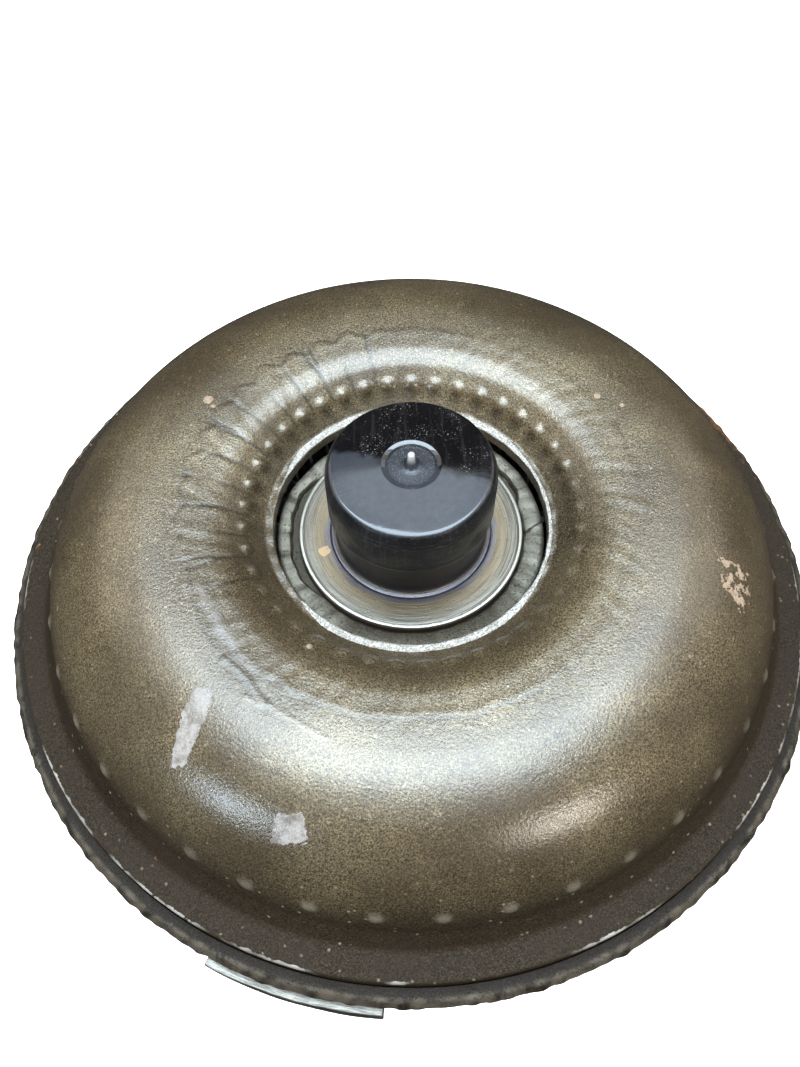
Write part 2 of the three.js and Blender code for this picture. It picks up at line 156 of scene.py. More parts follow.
def rounded(corners, steps=5):
    """Path through (radius, height) corners; a third number is the corner's fillet radius.

    A fillet is the arc that touches both sides: its centre lies on the bisector, at the radius
    divided by the sine of half the corner's angle.
    """
    points = np.array([corner[:2] for corner in corners], float)
    parts = [points[:1]]
    for i in range(1, len(points) - 1):
        if len(corners[i]) < 3:
            parts.append(points[i : i + 1])
            continue
        radius = corners[i][2]
        back = points[i - 1] - points[i]
        onward = points[i + 1] - points[i]
        back /= np.hypot(*back)
        onward /= np.hypot(*onward)
        half = math.acos(np.clip(back @ onward, -1, 1)) / 2
        if half > math.radians(89.5):
            parts.append(points[i : i + 1])
            continue
        reach = radius / math.tan(half)
        bisector = (back + onward) / np.hypot(*(back + onward))
        centre = points[i] + bisector * radius / math.sin(half)
        first = points[i] + back * reach - centre
        last = points[i] + onward * reach - centre
        span = math.pi - 2 * half
        t = np.linspace(0, 1, steps)[:, None]
        parts.append(centre + (np.sin((1 - t) * span) * first + np.sin(t * span) * last) / math.sin(span))
    parts.append(points[-1:])
    return np.vstack(parts)


def arc(centre_r, centre_z, radius, start, end, steps):
    """Points on a circle in the (radius, height) plane between two angles in degrees."""
    a = np.radians(np.linspace(start, end, steps))
    return np.column_stack([centre_r + radius * np.cos(a), centre_z + radius * np.sin(a)])


def stepped(path, step):
    """The same path with every straight run cut into equal steps no longer than `step`."""
    length = np.hypot(*np.diff(path, axis=0).T)
    count = np.maximum(1, np.ceil(length / step)).astype(int)
    run = np.repeat(np.arange(len(count)), count)
    part = np.arange(count.sum()) - np.repeat(np.cumsum(count) - count, count)
    t = (part / count[run])[:, None]
    return np.vstack([path[run] * (1 - t) + path[run + 1] * t, path[-1:]])


def softened(path, width, step=0.25):
    """The path with its corners eased: a running mean, weighted by a raised cosine, along its length."""
    fine = stepped(path, step)
    half = max(1, int(width / step / 2))
    weight = np.hanning(2 * half + 3)[1:-1]
    weight /= weight.sum()
    before = 2 * fine[0] - fine[half:0:-1]
    after = 2 * fine[-1] - fine[-2 : -half - 2 : -1]
    padded = np.vstack([before, fine, after])
    return np.column_stack([np.convolve(padded[:, k], weight, "valid") for k in (0, 1)])


def respaced(path, radii, steps):
    """A path of growing radius sampled at one step up to each given radius, then at the next step."""
    length = np.concatenate([[0], np.cumsum(np.hypot(*np.diff(path, axis=0).T))])
    stops = [0, *np.interp(radii, path[:, 0], length), length[-1]]
    runs = [
        np.linspace(a, b, max(2, int((b - a) / step)), endpoint=False)
        for a, b, step in zip(stops[:-1], stops[1:], steps)
    ]
    at = np.concatenate([*runs, [length[-1]]])
    return np.column_stack([np.interp(at, length, path[:, k]) for k in (0, 1)])


def outward(path, closed):
    """Unit normals of a path whose outer side is on its left: its direction turned by 90 degrees."""
    before = np.roll(path, 1, 0)
    after = np.roll(path, -1, 0)
    if not closed:
        before[0], after[-1] = path[0], path[-1]
    along = after - before
    along /= np.maximum(np.hypot(*along.T), 1e-9)[:, None]
    return -along[:, 1:], along[:, :1]


def azimuths(columns, phase=0.0):
    return phase + 360.0 * np.arange(columns)[None, :] / columns


def plane(r, azimuth):
    """X and Y of points at a radius and an azimuth in degrees."""
    angle = np.radians(azimuth)
    return r * np.cos(angle), r * np.sin(angle)


def bump(distance, reach):
    """A round swelling: one at no distance, falling as (1 - q squared) squared to zero at `reach`."""
    q = np.clip(np.abs(distance) / reach, 0, 1)
    return (1 - q * q) ** 2


def ridge(distance, width):
    """A bell curve across a line."""
    return np.exp(-((distance / width) ** 2))


def ease(value, low, high):
    """Zero below `low`, one above `high`, and 3t^2 - 2t^3 between them."""
    t = np.clip((value - low) / (high - low), 0, 1)
    return t * t * (3 - 2 * t)


def turn_gap(azimuth, centre):
    """Signed angle in degrees from `centre`, between -180 and 180."""
    return (azimuth - centre + 180) % 360 - 180


def between(azimuth, start, end, soft):
    """One on the arc from `start` to `end`, easing to zero over `soft` degrees at both ends."""
    half = (end - start) / 2
    return 1 - ease(np.abs(turn_gap(azimuth, start + half)), half - soft / 2, half + soft / 2)


def waves(azimuth, other, seed, counts, rates):
    """Smooth unevenness: cosines with whole numbers of turns round the axis and seeded phases, summed
    and divided by the root of their number."""
    random = np.random.default_rng(seed)
    total = 0
    for count in counts:
        rate = random.uniform(-rates, rates)
        total = total + np.cos(np.radians(count * azimuth) + rate * other + random.uniform(0, 2 * math.pi))
    return total / math.sqrt(len(counts))


def line_distance(x, y, points):
    """Distance from every (x, y) to the nearest point of an open chain of straight runs."""
    best = np.full(x.shape, 1e3)
    for (ax, ay), (bx, by) in zip(points[:-1], points[1:]):
        t = ((x - ax) * (bx - ax) + (y - ay) * (by - ay)) / ((bx - ax) ** 2 + (by - ay) ** 2)
        t = np.clip(t, 0, 1)
        best = np.minimum(best, np.hypot(x - ax - t * (bx - ax), y - ay - t * (by - ay)))
    return best


def patch_depth(x, y, corners):
    """Distance from every (x, y) to the edge of a closed patch: above zero inside it, below zero outside."""
    ring = [*corners, corners[0]]
    inside = np.zeros(x.shape, bool)
    for (ax, ay), (bx, by) in zip(ring[:-1], ring[1:]):
        rise = by - ay if by != ay else 1e-6
        inside ^= ((ay > y) != (by > y)) & (x < (bx - ax) * (y - ay) / rise + ax)
    edge = line_distance(x, y, ring)
    return np.where(inside, edge, -edge)


def grid_piece(name, x, y, z, rows_closed, finish, slot, stands_for=(), body="housing", values=None):
    """A closed surface from a grid of points: columns always close on themselves, and the rows either
    close too or end in a fan round the middle of the first and the last row."""
    rows, columns = x.shape
    points = np.column_stack([x.ravel(), y.ravel(), z.ravel()]) * MM
    index = np.arange(rows * columns).reshape(rows, columns)
    beside = np.roll(index, -1, 1)
    top, bottom = (slice(None), None) if rows_closed else (slice(0, -1), slice(1, None))
    below = np.roll(index, -1, 0) if rows_closed else index[bottom]
    below_beside = np.roll(beside, -1, 0) if rows_closed else beside[bottom]
    quads = np.stack([index[top], below, below_beside, beside[top]], -1).reshape(-1, 4)
    fans = np.zeros((0, 3), int)
    if not rows_closed:
        ends = points.reshape(rows, columns, 3)[[0, -1]].mean(1)
        first, last = len(points), len(points) + 1
        points = np.vstack([points, ends])
        fan_a = np.stack([index[0], beside[0], np.full(columns, first)], -1)
        fan_b = np.stack([beside[-1], index[-1], np.full(columns, last)], -1)
        fans = np.vstack([fan_a, fan_b])
    a, b, c = (points[quads[:, k]] for k in (0, 1, 2))
    d = points[quads[:, 3]]
    volume = np.einsum("ij,ij->", a, np.cross(b, c)) + np.einsum("ij,ij->", a, np.cross(c, d))
    if volume < 0:
        quads = quads[:, ::-1]
        fans = fans[:, ::-1]
    mesh = bpy.data.meshes.new(name)
    mesh.vertices.add(len(points))
    mesh.vertices.foreach_set("co", points.astype(np.float32).ravel())
    corners = np.concatenate([quads.ravel(), fans.ravel()])
    starts = np.concatenate([np.arange(len(quads)) * 4, 4 * len(quads) + np.arange(len(fans)) * 3])
    mesh.loops.add(len(corners))
    mesh.loops.foreach_set("vertex_index", corners.astype(np.int32))
    mesh.polygons.add(len(starts))
    mesh.polygons.foreach_set("loop_start", starts.astype(np.int32))
    mesh.update(calc_edges=True)
    mesh.validate()
    for key, value in (values or {}).items():
        spread = np.zeros(len(points), np.float32)
        spread[: rows * columns] = np.broadcast_to(value, (rows, columns)).ravel()
        mesh.attributes.new(key, "FLOAT", "POINT").data.foreach_set("value", spread)
    mesh.shade_smooth()
    mesh.set_sharp_from_angle(angle=math.radians(SHARP_ANGLE))
    mesh.materials.append(finish)
    piece = bpy.data.objects.new(name, mesh)
    bpy.context.scene.collection.objects.link(piece)
    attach(piece, body)
    if stands_for:
        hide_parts(*stands_for)
    return piece


def turned_piece(name, path, columns, relief, finish, slot, closed=False, centre=(0.0, 0.0), **more):
    """A path turned round an upright axis through `centre`. relief(radius, azimuth) gives the height in
    millimetres by which each point stands out along the path's normal."""
    normal_r, normal_z = outward(path, closed)
    azimuth = azimuths(columns)
    height = relief(path[:, :1], azimuth) if relief else np.zeros((len(path), columns))
    r = path[:, :1] + normal_r * height
    z = path[:, 1:] + normal_z * height
    x, y = plane(r, azimuth)
    x, y = centre[0] + x, centre[1] + y
    return grid_piece(name, x, y, np.broadcast_to(z, x.shape), closed, finish, slot, **more)


# ---- node trees ----------------------------------------------------------------------------------


class Nodes:
    """Short calls that add nodes to one tree. A value is a number, a colour, a vector or a socket."""

    def __init__(self, tree):
        self.tree = tree

    def add(self, kind, **settings):
        node = self.tree.nodes.new(kind)
        for key, value in settings.items():
            setattr(node, key, value)
        return node

    def feed(self, socket, value):
        if isinstance(value, bpy.types.NodeSocket):
            self.tree.links.new(value, socket)
        elif socket.type == "RGBA" and len(value) == 3:
            socket.default_value = (*value, 1.0)
        else:
            socket.default_value = value

    def made(self, kind, inputs, **settings):
        """Adds a node, feeds its inputs by name or number, and returns its outputs."""
        node = self.add(kind, **settings)
        for key, value in inputs.items():
            self.feed(node.inputs[key], value)
        return node.outputs

    def math(self, operation, a, b=0.0):
        return self.made("ShaderNodeMath", {0: a, 1: b}, operation=operation)[0]

    def times(self, a, b):
        return self.math("MULTIPLY", a, b)

    def plus(self, a, b):
        return self.math("ADD", a, b)

    def less(self, a, b):
        return self.math("SUBTRACT", a, b)

    def rest(self, share):
        """What a share leaves of one."""
        return self.less(1.0, share)

    def most(self, a, b):
        return self.math("MAXIMUM", a, b)

    def least(self, a, b):
        return self.math("MINIMUM", a, b)

    def ease(self, value, low, high):
        """Zero at `low`, one at `high`, smooth between them."""
        inputs = {"Value": value, "From Min": low, "From Max": high}
        return self.made("ShaderNodeMapRange", inputs, interpolation_type="SMOOTHSTEP")[0]

    def spread(self, value, low, high):
        """Turns zero to one into `low` to `high`."""
        return self.made("ShaderNodeMapRange", {"Value": value, "To Min": low, "To Max": high})[0]

    def band(self, value, centre, width):
        """One at `centre`, falling smoothly to zero at `width` on both sides."""
        away = self.math("ABSOLUTE", self.less(value, centre))
        return self.rest(self.ease(away, 0.0, width))

    def mix(self, share, a, b):
        """From colour a to colour b."""
        return self.made("ShaderNodeMix", {0: share, 6: a, 7: b}, data_type="RGBA")[2]

    def blend(self, share, a, b):
        """From number a to number b."""
        return self.made("ShaderNodeMix", {0: share, 2: a, 3: b}, data_type="FLOAT")[0]

    def shade(self, colour, factor):
        """A colour made lighter or darker by a factor."""
        return self.made("ShaderNodeVectorMath", {0: colour, "Scale": factor}, operation="SCALE")[0]

    def scaled(self, place, factors):
        return self.made("ShaderNodeVectorMath", {0: place, 1: factors}, operation="MULTIPLY")[0]

    def joined(self, x, y, z=0.0):
        return self.made("ShaderNodeCombineXYZ", {0: x, 1: y, 2: z})[0]

    def noise(self, place, scale, detail=2.0, roughness=0.5):
        """Cloudy pattern, about 0.3 to 0.7, with `scale` features per unit of `place`."""
        inputs = {"Vector": place, "Scale": scale, "Detail": detail, "Roughness": roughness}
        return self.made("ShaderNodeTexNoise", inputs)[0]

    def cells(self, place, scale):
        """Random cells: distance to the nearest cell's middle, and a random number for each cell."""
        outputs = self.made("ShaderNodeTexVoronoi", {"Vector": place, "Scale": scale})
        return outputs["Distance"], self.made("ShaderNodeSeparateColor", {0: outputs["Color"]})[0]

    def value_of(self, attribute):
        return self.add("ShaderNodeAttribute", attribute_name=attribute).outputs["Fac"]

    def group(self, made, **values):
        """Places a node group and returns its outputs by name."""
        node = self.add("ShaderNodeGroup", node_tree=made)
        for key, value in values.items():
            self.feed(node.inputs[key.replace("_", " ")], value)
        return node.outputs


def node_group(name, inputs, outputs, build):
    """A shader node group with named sockets. build(nodes, inputs) returns a value for each output."""
    tree = bpy.data.node_groups.new(name, "ShaderNodeTree")
    kinds = {"v": "NodeSocketVector", "f": "NodeSocketFloat", "c": "NodeSocketColor"}
    for key, kind in inputs.items():
        tree.interface.new_socket(name=key, in_out="INPUT", socket_type=kinds[kind])
    for key, kind in outputs.items():
        tree.interface.new_socket(name=key, in_out="OUTPUT", socket_type=kinds[kind])
    nodes = Nodes(tree)
    enter = nodes.add("NodeGroupInput")
    leave = nodes.add("NodeGroupOutput")
    made = build(nodes, enter.outputs)
    for key, value in made.items():
        nodes.feed(leave.inputs[key], value)
    return tree


def build_polar(n, given):
    """Millimetres from the shaft axis, height, and the direction round the axis in radians."""
    parts = n.add("ShaderNodeSeparateXYZ")
    n.feed(parts.inputs[0], given["Place"])
    x, y, z = parts.outputs
    radius = n.math("SQRT", n.plus(n.times(x, x), n.times(y, y)))
    angle = n.math("ARCTAN2", y, x)
    return {"Radius": radius, "Angle": angle, "Height": z}


def build_peel(n, given):
    """Height of a sprayed coat: fine grain on soft waves, in millimetres."""
    fine = n.noise(given["Place"], n.math("DIVIDE", 1.0, given["Size"]), 3.0, 0.6)
    soft = n.noise(given["Place"], n.math("DIVIDE", 0.25, given["Size"]), 1.0)
    both = n.plus(n.less(fine, 0.5), n.times(n.less(soft, 0.5), 0.35))
    return {"Height": n.times(both, given["Depth"])}


def build_fleck(n, given):
    """Small bright or dull dots: random cells of which only a share is lit, near their middles."""
    away, chance = n.cells(given["Place"], n.math("DIVIDE", 1.0, given["Size"]))
    lit = n.math("GREATER_THAN", chance, n.rest(given["Share"]))
    return {"Mask": n.times(lit, n.rest(n.ease(away, 0.12, 0.42)))}


def build_grime(n, given):
    """Dirt that gathers in clouds: a broad noise sets where, a fine noise breaks it up."""
    broad = n.noise(given["Place"], 0.035, 3.0, 0.55)
    fine = n.noise(given["Place"], 0.9, 4.0, 0.7)
    together = n.plus(n.times(broad, 0.7), n.times(fine, 0.3))
    return {"Mask": n.times(n.ease(together, 0.42, 0.62), given["Amount"])}


def build_wear(n, given):
    """Ragged edge of worn or chipped paint: a depth in millimetres, pushed about by noise."""
    push = n.less(n.noise(given["Place"], n.math("DIVIDE", 1.0, given["Size"]), 4.0, 0.65), 0.5)
    depth = n.plus(given["Depth"], n.times(push, given["Roughen"]))
    return {"Mask": n.ease(depth, -0.12, 0.12)}


def build_rust(n, given):
    """Brown to orange rust and the share of the surface that it covers."""
    cloud = n.noise(given["Place"], 0.22, 5.0, 0.65)
    speck = n.noise(given["Place"], 1.3, 3.0, 0.7)
    covers = n.ease(n.plus(given["Amount"], n.times(n.less(cloud, 0.5), 1.8)), 0.42, 0.62)
    tone = n.mix(n.ease(speck, 0.35, 0.65), (0.050, 0.022, 0.011), (0.155, 0.070, 0.027))
    return {"Colour": tone, "Mask": covers, "Height": n.times(speck, 0.08)}


def build_turning(n, given):
    """Lines left by a turning tool: noise that changes fast across the radius and slowly round it."""
    around = n.times(given["Angle"], 1.6)
    across = n.math("DIVIDE", given["Radius"], given["Pitch"])
    lines = n.noise(n.joined(across, around), 1.0, 4.0, 0.7)
    return {"Height": n.times(n.less(lines, 0.5), given["Depth"]), "Shade": lines}


def build_pits(n, given):
    """Fine pits and scuffs of bare metal."""
    away, chance = n.cells(given["Place"], n.math("DIVIDE", 1.0, given["Size"]))
    pit = n.times(n.math("GREATER_THAN", chance, 0.55), n.rest(n.ease(away, 0.05, 0.4)))
    return {"Mask": pit}


POLAR = node_group("polar_place", {"Place": "v"}, {"Radius": "f", "Angle": "f", "Height": "f"}, build_polar)
PEEL = node_group("sprayed_coat", {"Place": "v", "Size": "f", "Depth": "f"}, {"Height": "f"}, build_peel)
FLECK = node_group("metal_fleck", {"Place": "v", "Size": "f", "Share": "f"}, {"Mask": "f"}, build_fleck)
GRIME = node_group("grime", {"Place": "v", "Amount": "f"}, {"Mask": "f"}, build_grime)
WEAR = node_group(
    "worn_edge", {"Place": "v", "Depth": "f", "Size": "f", "Roughen": "f"}, {"Mask": "f"}, build_wear
)
RUST = node_group(
    "rust", {"Place": "v", "Amount": "f"}, {"Colour": "c", "Mask": "f", "Height": "f"}, build_rust
)
TURNING = node_group(
    "turning_lines",
    {"Radius": "f", "Angle": "f", "Pitch": "f", "Depth": "f"},
    {"Height": "f", "Shade": "f"},
    build_turning,
)
PITS = node_group("pits", {"Place": "v", "Size": "f"}, {"Mask": "f"}, build_pits)


def begin(name):
    """An empty material, its node calls, and object coordinates in millimetres."""
    material = bpy.data.materials.new(name)
    material.use_nodes = True
    material.node_tree.nodes.clear()
    n = Nodes(material.node_tree)
    place = n.shade(n.add("ShaderNodeTexCoord").outputs["Object"], 1 / MM)
    return material, n, place


def surface(n, colour, roughness, metallic, height=None, coat=0.0, coat_roughness=0.2, specular=0.5):
    """The Principled surface. The height is in millimetres."""
    shader = n.add("ShaderNodeBsdfPrincipled")
    n.feed(shader.inputs["Base Color"], colour)
    n.feed(shader.inputs["Roughness"], roughness)
    n.feed(shader.inputs["Metallic"], metallic)
    n.feed(shader.inputs["Coat Weight"], coat)
    shader.inputs["Coat Roughness"].default_value = coat_roughness
    shader.inputs["Specular IOR Level"].default_value = specular
    if height is not None:
        raised = n.add("ShaderNodeBump")
        raised.inputs["Distance"].default_value = MM
        n.feed(raised.inputs["Height"], height)
        n.feed(shader.inputs["Normal"], raised.outputs[0])
        n.feed(shader.inputs["Coat Normal"], raised.outputs[0])
    out = n.add("ShaderNodeOutputMaterial")
    n.feed(out.inputs["Surface"], shader.outputs[0])


# ---- finishes ------------------------------------------------------------------------------------

OLIVE = (0.116, 0.092, 0.053)
OLIVE_DARK = (0.070, 0.053, 0.030)
BROWN = (0.015, 0.0105, 0.0058)
BARE = (0.60, 0.58, 0.53)
RESIDUE = (0.34, 0.34, 0.345)
PRIMER = (0.30, 0.235, 0.175)
FLECK_TONE = (0.42, 0.35, 0.24)
DOT_TONE = (0.40, 0.34, 0.24)
PAINTED_HIGHLIGHT_TONE = (0.26, 0.235, 0.19)
SCRATCH_TONE = (0.020, 0.017, 0.013)
STRAW_TINT = (0.24, 0.165, 0.08)
BLUE_TINT = (0.10, 0.105, 0.17)

# heights between which the paint turns dark brown towards the bottom, a painted shade of the low faces, and
# where the lip and the flange edge are worn
LOW_SHADE_FROM_Z, LOW_SHADE_TO_Z = 66.0, 97.0
LIP_WORN_R, LIP_WORN_Z = 46.0, 86.4
EDGE_WORN_R, EDGE_WORN_Z = 130.35, 58.2


def paint_base(n, place):
    """Metallic olive paint that every painted piece starts from. Returns the place round the axis, the
    colour, the roughness, the height, and how far down a point lies in the low zone, where the paint
    turns dark brown as a painted shade of the low faces."""
    polar = n.group(POLAR, Place=place)
    cloud = n.noise(place, 0.028, 3.0, 0.55)
    grain = n.noise(place, 1.9, 2.0, 0.8)
    fine = n.group(FLECK, Place=place, Size=0.55, Share=0.34)["Mask"]
    # painted shade: towards the bottom the paint turns dark brown
    low = n.rest(n.ease(polar["Height"], LOW_SHADE_FROM_Z, LOW_SHADE_TO_Z))
    base = n.mix(n.ease(cloud, 0.36, 0.66), OLIVE, OLIVE_DARK)
    base = n.mix(n.times(low, 0.96), base, BROWN)
    base = n.shade(base, n.spread(n.ease(grain, 0.34, 0.66), 0.30, 1.75))
    base = n.mix(n.times(fine, n.spread(low, 0.50, 0.09)), base, FLECK_TONE)
    dots = n.group(FLECK, Place=place, Size=1.5, Share=0.05)["Mask"]
    base = n.mix(n.times(dots, 0.4), base, DOT_TONE)
    height = n.group(PEEL, Place=place, Size=0.75, Depth=0.11)["Height"]
    rough = n.plus(n.spread(n.noise(place, 0.4, 3.0, 0.6), 0.34, 0.50), n.times(low, 0.3))
    return polar, base, rough, height, low


def shell_paint():
    """Paint of the impeller shell, with its worn lip, tape residue, flaked spots and rust, painted shade in
    its creases, folds and hollows, and painted highlights on its dimples and run ridges.
    """
    material, n, place = begin("shell_paint")
    polar, colour, rough, height, low = paint_base(n, place)
    radius = polar["Radius"]
    # painted shade: darkens the coat in the creases, along the fold, beside the runs, in the valley and in
    # the dimple hollows
    painted_shade = n.value_of("painted_shade")
    colour = n.shade(colour, n.rest(n.times(painted_shade, 0.70)))
    # painted highlight: lightens the coat on the dimple tops and the run's ridges
    painted_highlight = n.value_of("painted_highlight")
    colour = n.mix(n.times(painted_highlight, n.spread(low, 0.15, 0.42)), colour, PAINTED_HIGHLIGHT_TONE)
    grime = n.group(GRIME, Place=place, Amount=0.5)["Mask"]
    colour = n.mix(grime, colour, n.mix(low, (0.056, 0.043, 0.028), (0.020, 0.014, 0.009)))

    residue = n.group(WEAR, Place=place, Depth=n.value_of("residue"), Size=1.6, Roughen=3.2)["Mask"]
    thin = n.ease(n.noise(place, 0.7, 4.0, 0.7), 0.30, 0.60)
    clear = n.ease(n.noise(place, 0.16, 2.0), 0.36, 0.56)
    cover = n.times(n.spread(thin, 0.45, 0.95), n.spread(clear, 0.40, 1.0))
    residue = n.times(residue, n.times(cover, n.value_of("film")))
    colour = n.mix(residue, colour, RESIDUE)

    flaked = n.group(WEAR, Place=place, Depth=n.value_of("flaked"), Size=2.6, Roughen=16.0)["Mask"]
    spots = n.group(WEAR, Place=place, Depth=n.value_of("chipped"), Size=0.9, Roughen=1.6)["Mask"]
    primer = n.most(flaked, spots)
    colour = n.mix(n.times(primer, 0.85), colour, n.shade(PRIMER, n.spread(thin, 0.7, 1.25)))

    scratch = n.group(WEAR, Place=place, Depth=n.value_of("scratched"), Size=0.8, Roughen=0.7)["Mask"]
    colour = n.mix(n.times(scratch, 0.75), colour, SCRATCH_TONE)

    lip = n.least(n.less(LIP_WORN_R, radius), n.times(n.less(polar["Height"], LIP_WORN_Z), 3.0))
    edge = n.less(0.55, n.math("ABSOLUTE", n.less(radius, EDGE_WORN_R)))
    edge = n.least(edge, n.times(n.less(polar["Height"], EDGE_WORN_Z), 2.0))
    lip = n.less(lip, n.times(2.6, n.rest(n.value_of("lip_rubbed"))))
    worn = n.group(WEAR, Place=place, Depth=lip, Size=0.8, Roughen=1.0)["Mask"]
    rubbed = n.group(WEAR, Place=place, Depth=n.less(edge, 0.25), Size=2.4, Roughen=2.2)["Mask"]
    rubbed = n.times(rubbed, n.ease(n.noise(place, 0.03, 3.0, 0.6), 0.47, 0.60))
    speck = n.ease(n.noise(place, 1.9, 3.0, 0.75), 0.36, 0.60)
    bare = n.most(n.times(worn, n.spread(speck, 0.35, 1.0)), n.times(rubbed, 0.6))
    colour = n.mix(bare, colour, BARE)

    rust = n.group(RUST, Place=place, Amount=n.value_of("rusty"))
    colour = n.mix(rust["Mask"], colour, rust["Colour"])
    dull = n.most(n.most(residue, primer), rust["Mask"])
    rough = n.blend(dull, rough, 0.75)
    painted = n.spread(low, 0.42, 0.05)
    metallic = n.times(n.blend(bare, painted, 0.95), n.rest(dull))
    height = n.plus(height, n.times(residue, 0.05))
    height = n.less(height, n.times(primer, 0.10))
    height = n.plus(height, n.times(rust["Mask"], rust["Height"]))
    height = n.plus(height, n.times(worn, n.times(speck, 0.10)))
    coat = n.times(n.spread(low, 1.0, 0.0), n.rest(n.most(dull, bare)))
    surface(n, colour, rough, metallic, height, coat, coat_roughness=0.15, specular=0.15)
    return material


def cover_paint():
    """Paint of the cover side: the same coat, dustier and with rust spots."""
    material, n, place = begin("cover_paint")
    _, colour, rough, height, _ = paint_base(n, place)
    # the cover lies wholly in the low zone, so it takes the dark brown painted shade all over
    grime = n.group(GRIME, Place=place, Amount=0.7)["Mask"]
    colour = n.mix(grime, colour, (0.050, 0.038, 0.028))
    rust = n.group(RUST, Place=place, Amount=0.12)
    colour = n.mix(rust["Mask"], colour, rust["Colour"])
    rough = n.blend(rust["Mask"], rough, 0.8)
    metallic = n.times(0.25, n.rest(rust["Mask"]))
    coat = n.times(0.3, n.rest(rust["Mask"]))
    surface(n, colour, rough, metallic, height, coat, coat_roughness=0.28)
    return material


def weld_paint(name, tone, dark, rust_amount, metal):
    """Weld metal under thin paint, with slag pits and rust; a painted highlight makes it pale on its ripples
    and high spots, and painted shade makes it dark in its hollows.
    """
    material, n, place = begin(name)
    # raised holds the painted light: pale where it is high, dark where it is low
    raised = n.value_of("raised")
    grain = n.noise(place, 1.6, 4.0, 0.75)
    colour = n.mix(n.ease(n.plus(n.times(raised, 0.6), n.times(grain, 0.7)), 0.30, 0.82), dark, tone)
    pits = n.group(PITS, Place=place, Size=1.3)["Mask"]
    colour = n.mix(n.times(pits, 0.6), colour, (0.02, 0.017, 0.013))
    rust = n.group(RUST, Place=place, Amount=rust_amount)
    colour = n.mix(rust["Mask"], colour, rust["Colour"])
    metallic = n.times(metal, n.rest(rust["Mask"]))
    rough = n.blend(rust["Mask"], n.spread(grain, 0.34, 0.62), 0.8)
    height = n.less(n.times(grain, 0.22), n.times(pits, 0.12))
    surface(n, colour, rough, metallic, height, specular=0.2)
    return material


def hub_steel():
    """Machined hub: turning lines, heat tints that go from straw to blue towards the tube, light rust, and
    painted shade that makes the tube and the flange's outer wall nearly black.
    """
    material, n, place = begin("hub_steel")
    polar = n.group(POLAR, Place=place)
    radius, height_mm = polar["Radius"], polar["Height"]
    flat = n.rest(n.ease(height_mm, 82.2, 84.0))
    across = n.blend(flat, height_mm, radius)
    lines = n.group(TURNING, Radius=across, Angle=polar["Angle"], Pitch=0.34, Depth=0.03)
    cloud = n.noise(place, 0.11, 4.0, 0.6)
    steel = n.mix(n.ease(lines["Shade"], 0.35, 0.65), (0.070, 0.062, 0.048), (0.20, 0.18, 0.148))
    straw = n.times(flat, n.band(n.plus(radius, n.times(cloud, 4.0)), 31.0, 4.5))
    blue = n.times(flat, n.band(n.plus(radius, n.times(cloud, 3.0)), 27.3, 2.6))
    colour = n.mix(n.times(straw, 0.40), steel, STRAW_TINT)
    colour = n.mix(n.times(blue, 0.5), colour, BLUE_TINT)
    # painted shade: the tube above the flange is made nearly black
    tube = n.ease(height_mm, 82.6, 84.5)
    colour = n.mix(n.times(tube, 0.92), colour, (0.035, 0.030, 0.026))
    rim = n.times(flat, n.ease(radius, 34.4, 34.9))
    colour = n.mix(n.times(rim, 0.5), colour, (0.46, 0.44, 0.39))
    rust = n.group(RUST, Place=place, Amount=n.times(0.16, flat))
    colour = n.mix(n.times(rust["Mask"], 0.7), colour, rust["Colour"])
    spot = n.group(WEAR, Place=place, Depth=n.value_of("spotted"), Size=1.6, Roughen=2.0)["Mask"]
    colour = n.mix(spot, colour, (0.42, 0.32, 0.19))
    pits = n.group(PITS, Place=place, Size=1.1)["Mask"]
    colour = n.mix(n.times(pits, 0.35), colour, (0.06, 0.05, 0.04))
    dull = n.most(rust["Mask"], spot)
    # painted shade: the flange's outer wall, in the gap under the weld, is made nearly black
    side = n.times(n.ease(radius, 35.5, 35.8), n.rest(n.ease(height_mm, 81.0, 81.5)))
    colour = n.mix(side, colour, (0.030, 0.021, 0.013))
    dull = n.most(dull, side)
    rough = n.blend(dull, n.spread(cloud, 0.30, 0.50), 0.7)
    height = n.less(lines["Height"], n.times(pits, 0.03))
    surface(n, colour, rough, n.times(0.95, n.rest(n.times(dull, 0.8))), height)
    return material


def weight_steel():
    """Sawn steel strip: lengthwise grain, faint rust in blotches."""
    material, n, place = begin("weight_steel")
    polar = n.group(POLAR, Place=place)
    grain = n.noise(n.joined(n.times(polar["Angle"], 12.0), polar["Height"], polar["Radius"]), 2.2, 4.0, 0.7)
    colour = n.mix(n.ease(grain, 0.34, 0.66), (0.09, 0.081, 0.070), (0.27, 0.255, 0.222))
    rust = n.group(RUST, Place=place, Amount=0.22)
    colour = n.mix(n.times(rust["Mask"], 0.7), colour, rust["Colour"])
    rough = n.blend(rust["Mask"], n.spread(grain, 0.25, 0.5), 0.75)
    surface(n, colour, rough, n.times(0.95, n.rest(rust["Mask"])), n.times(grain, 0.12))
    return material


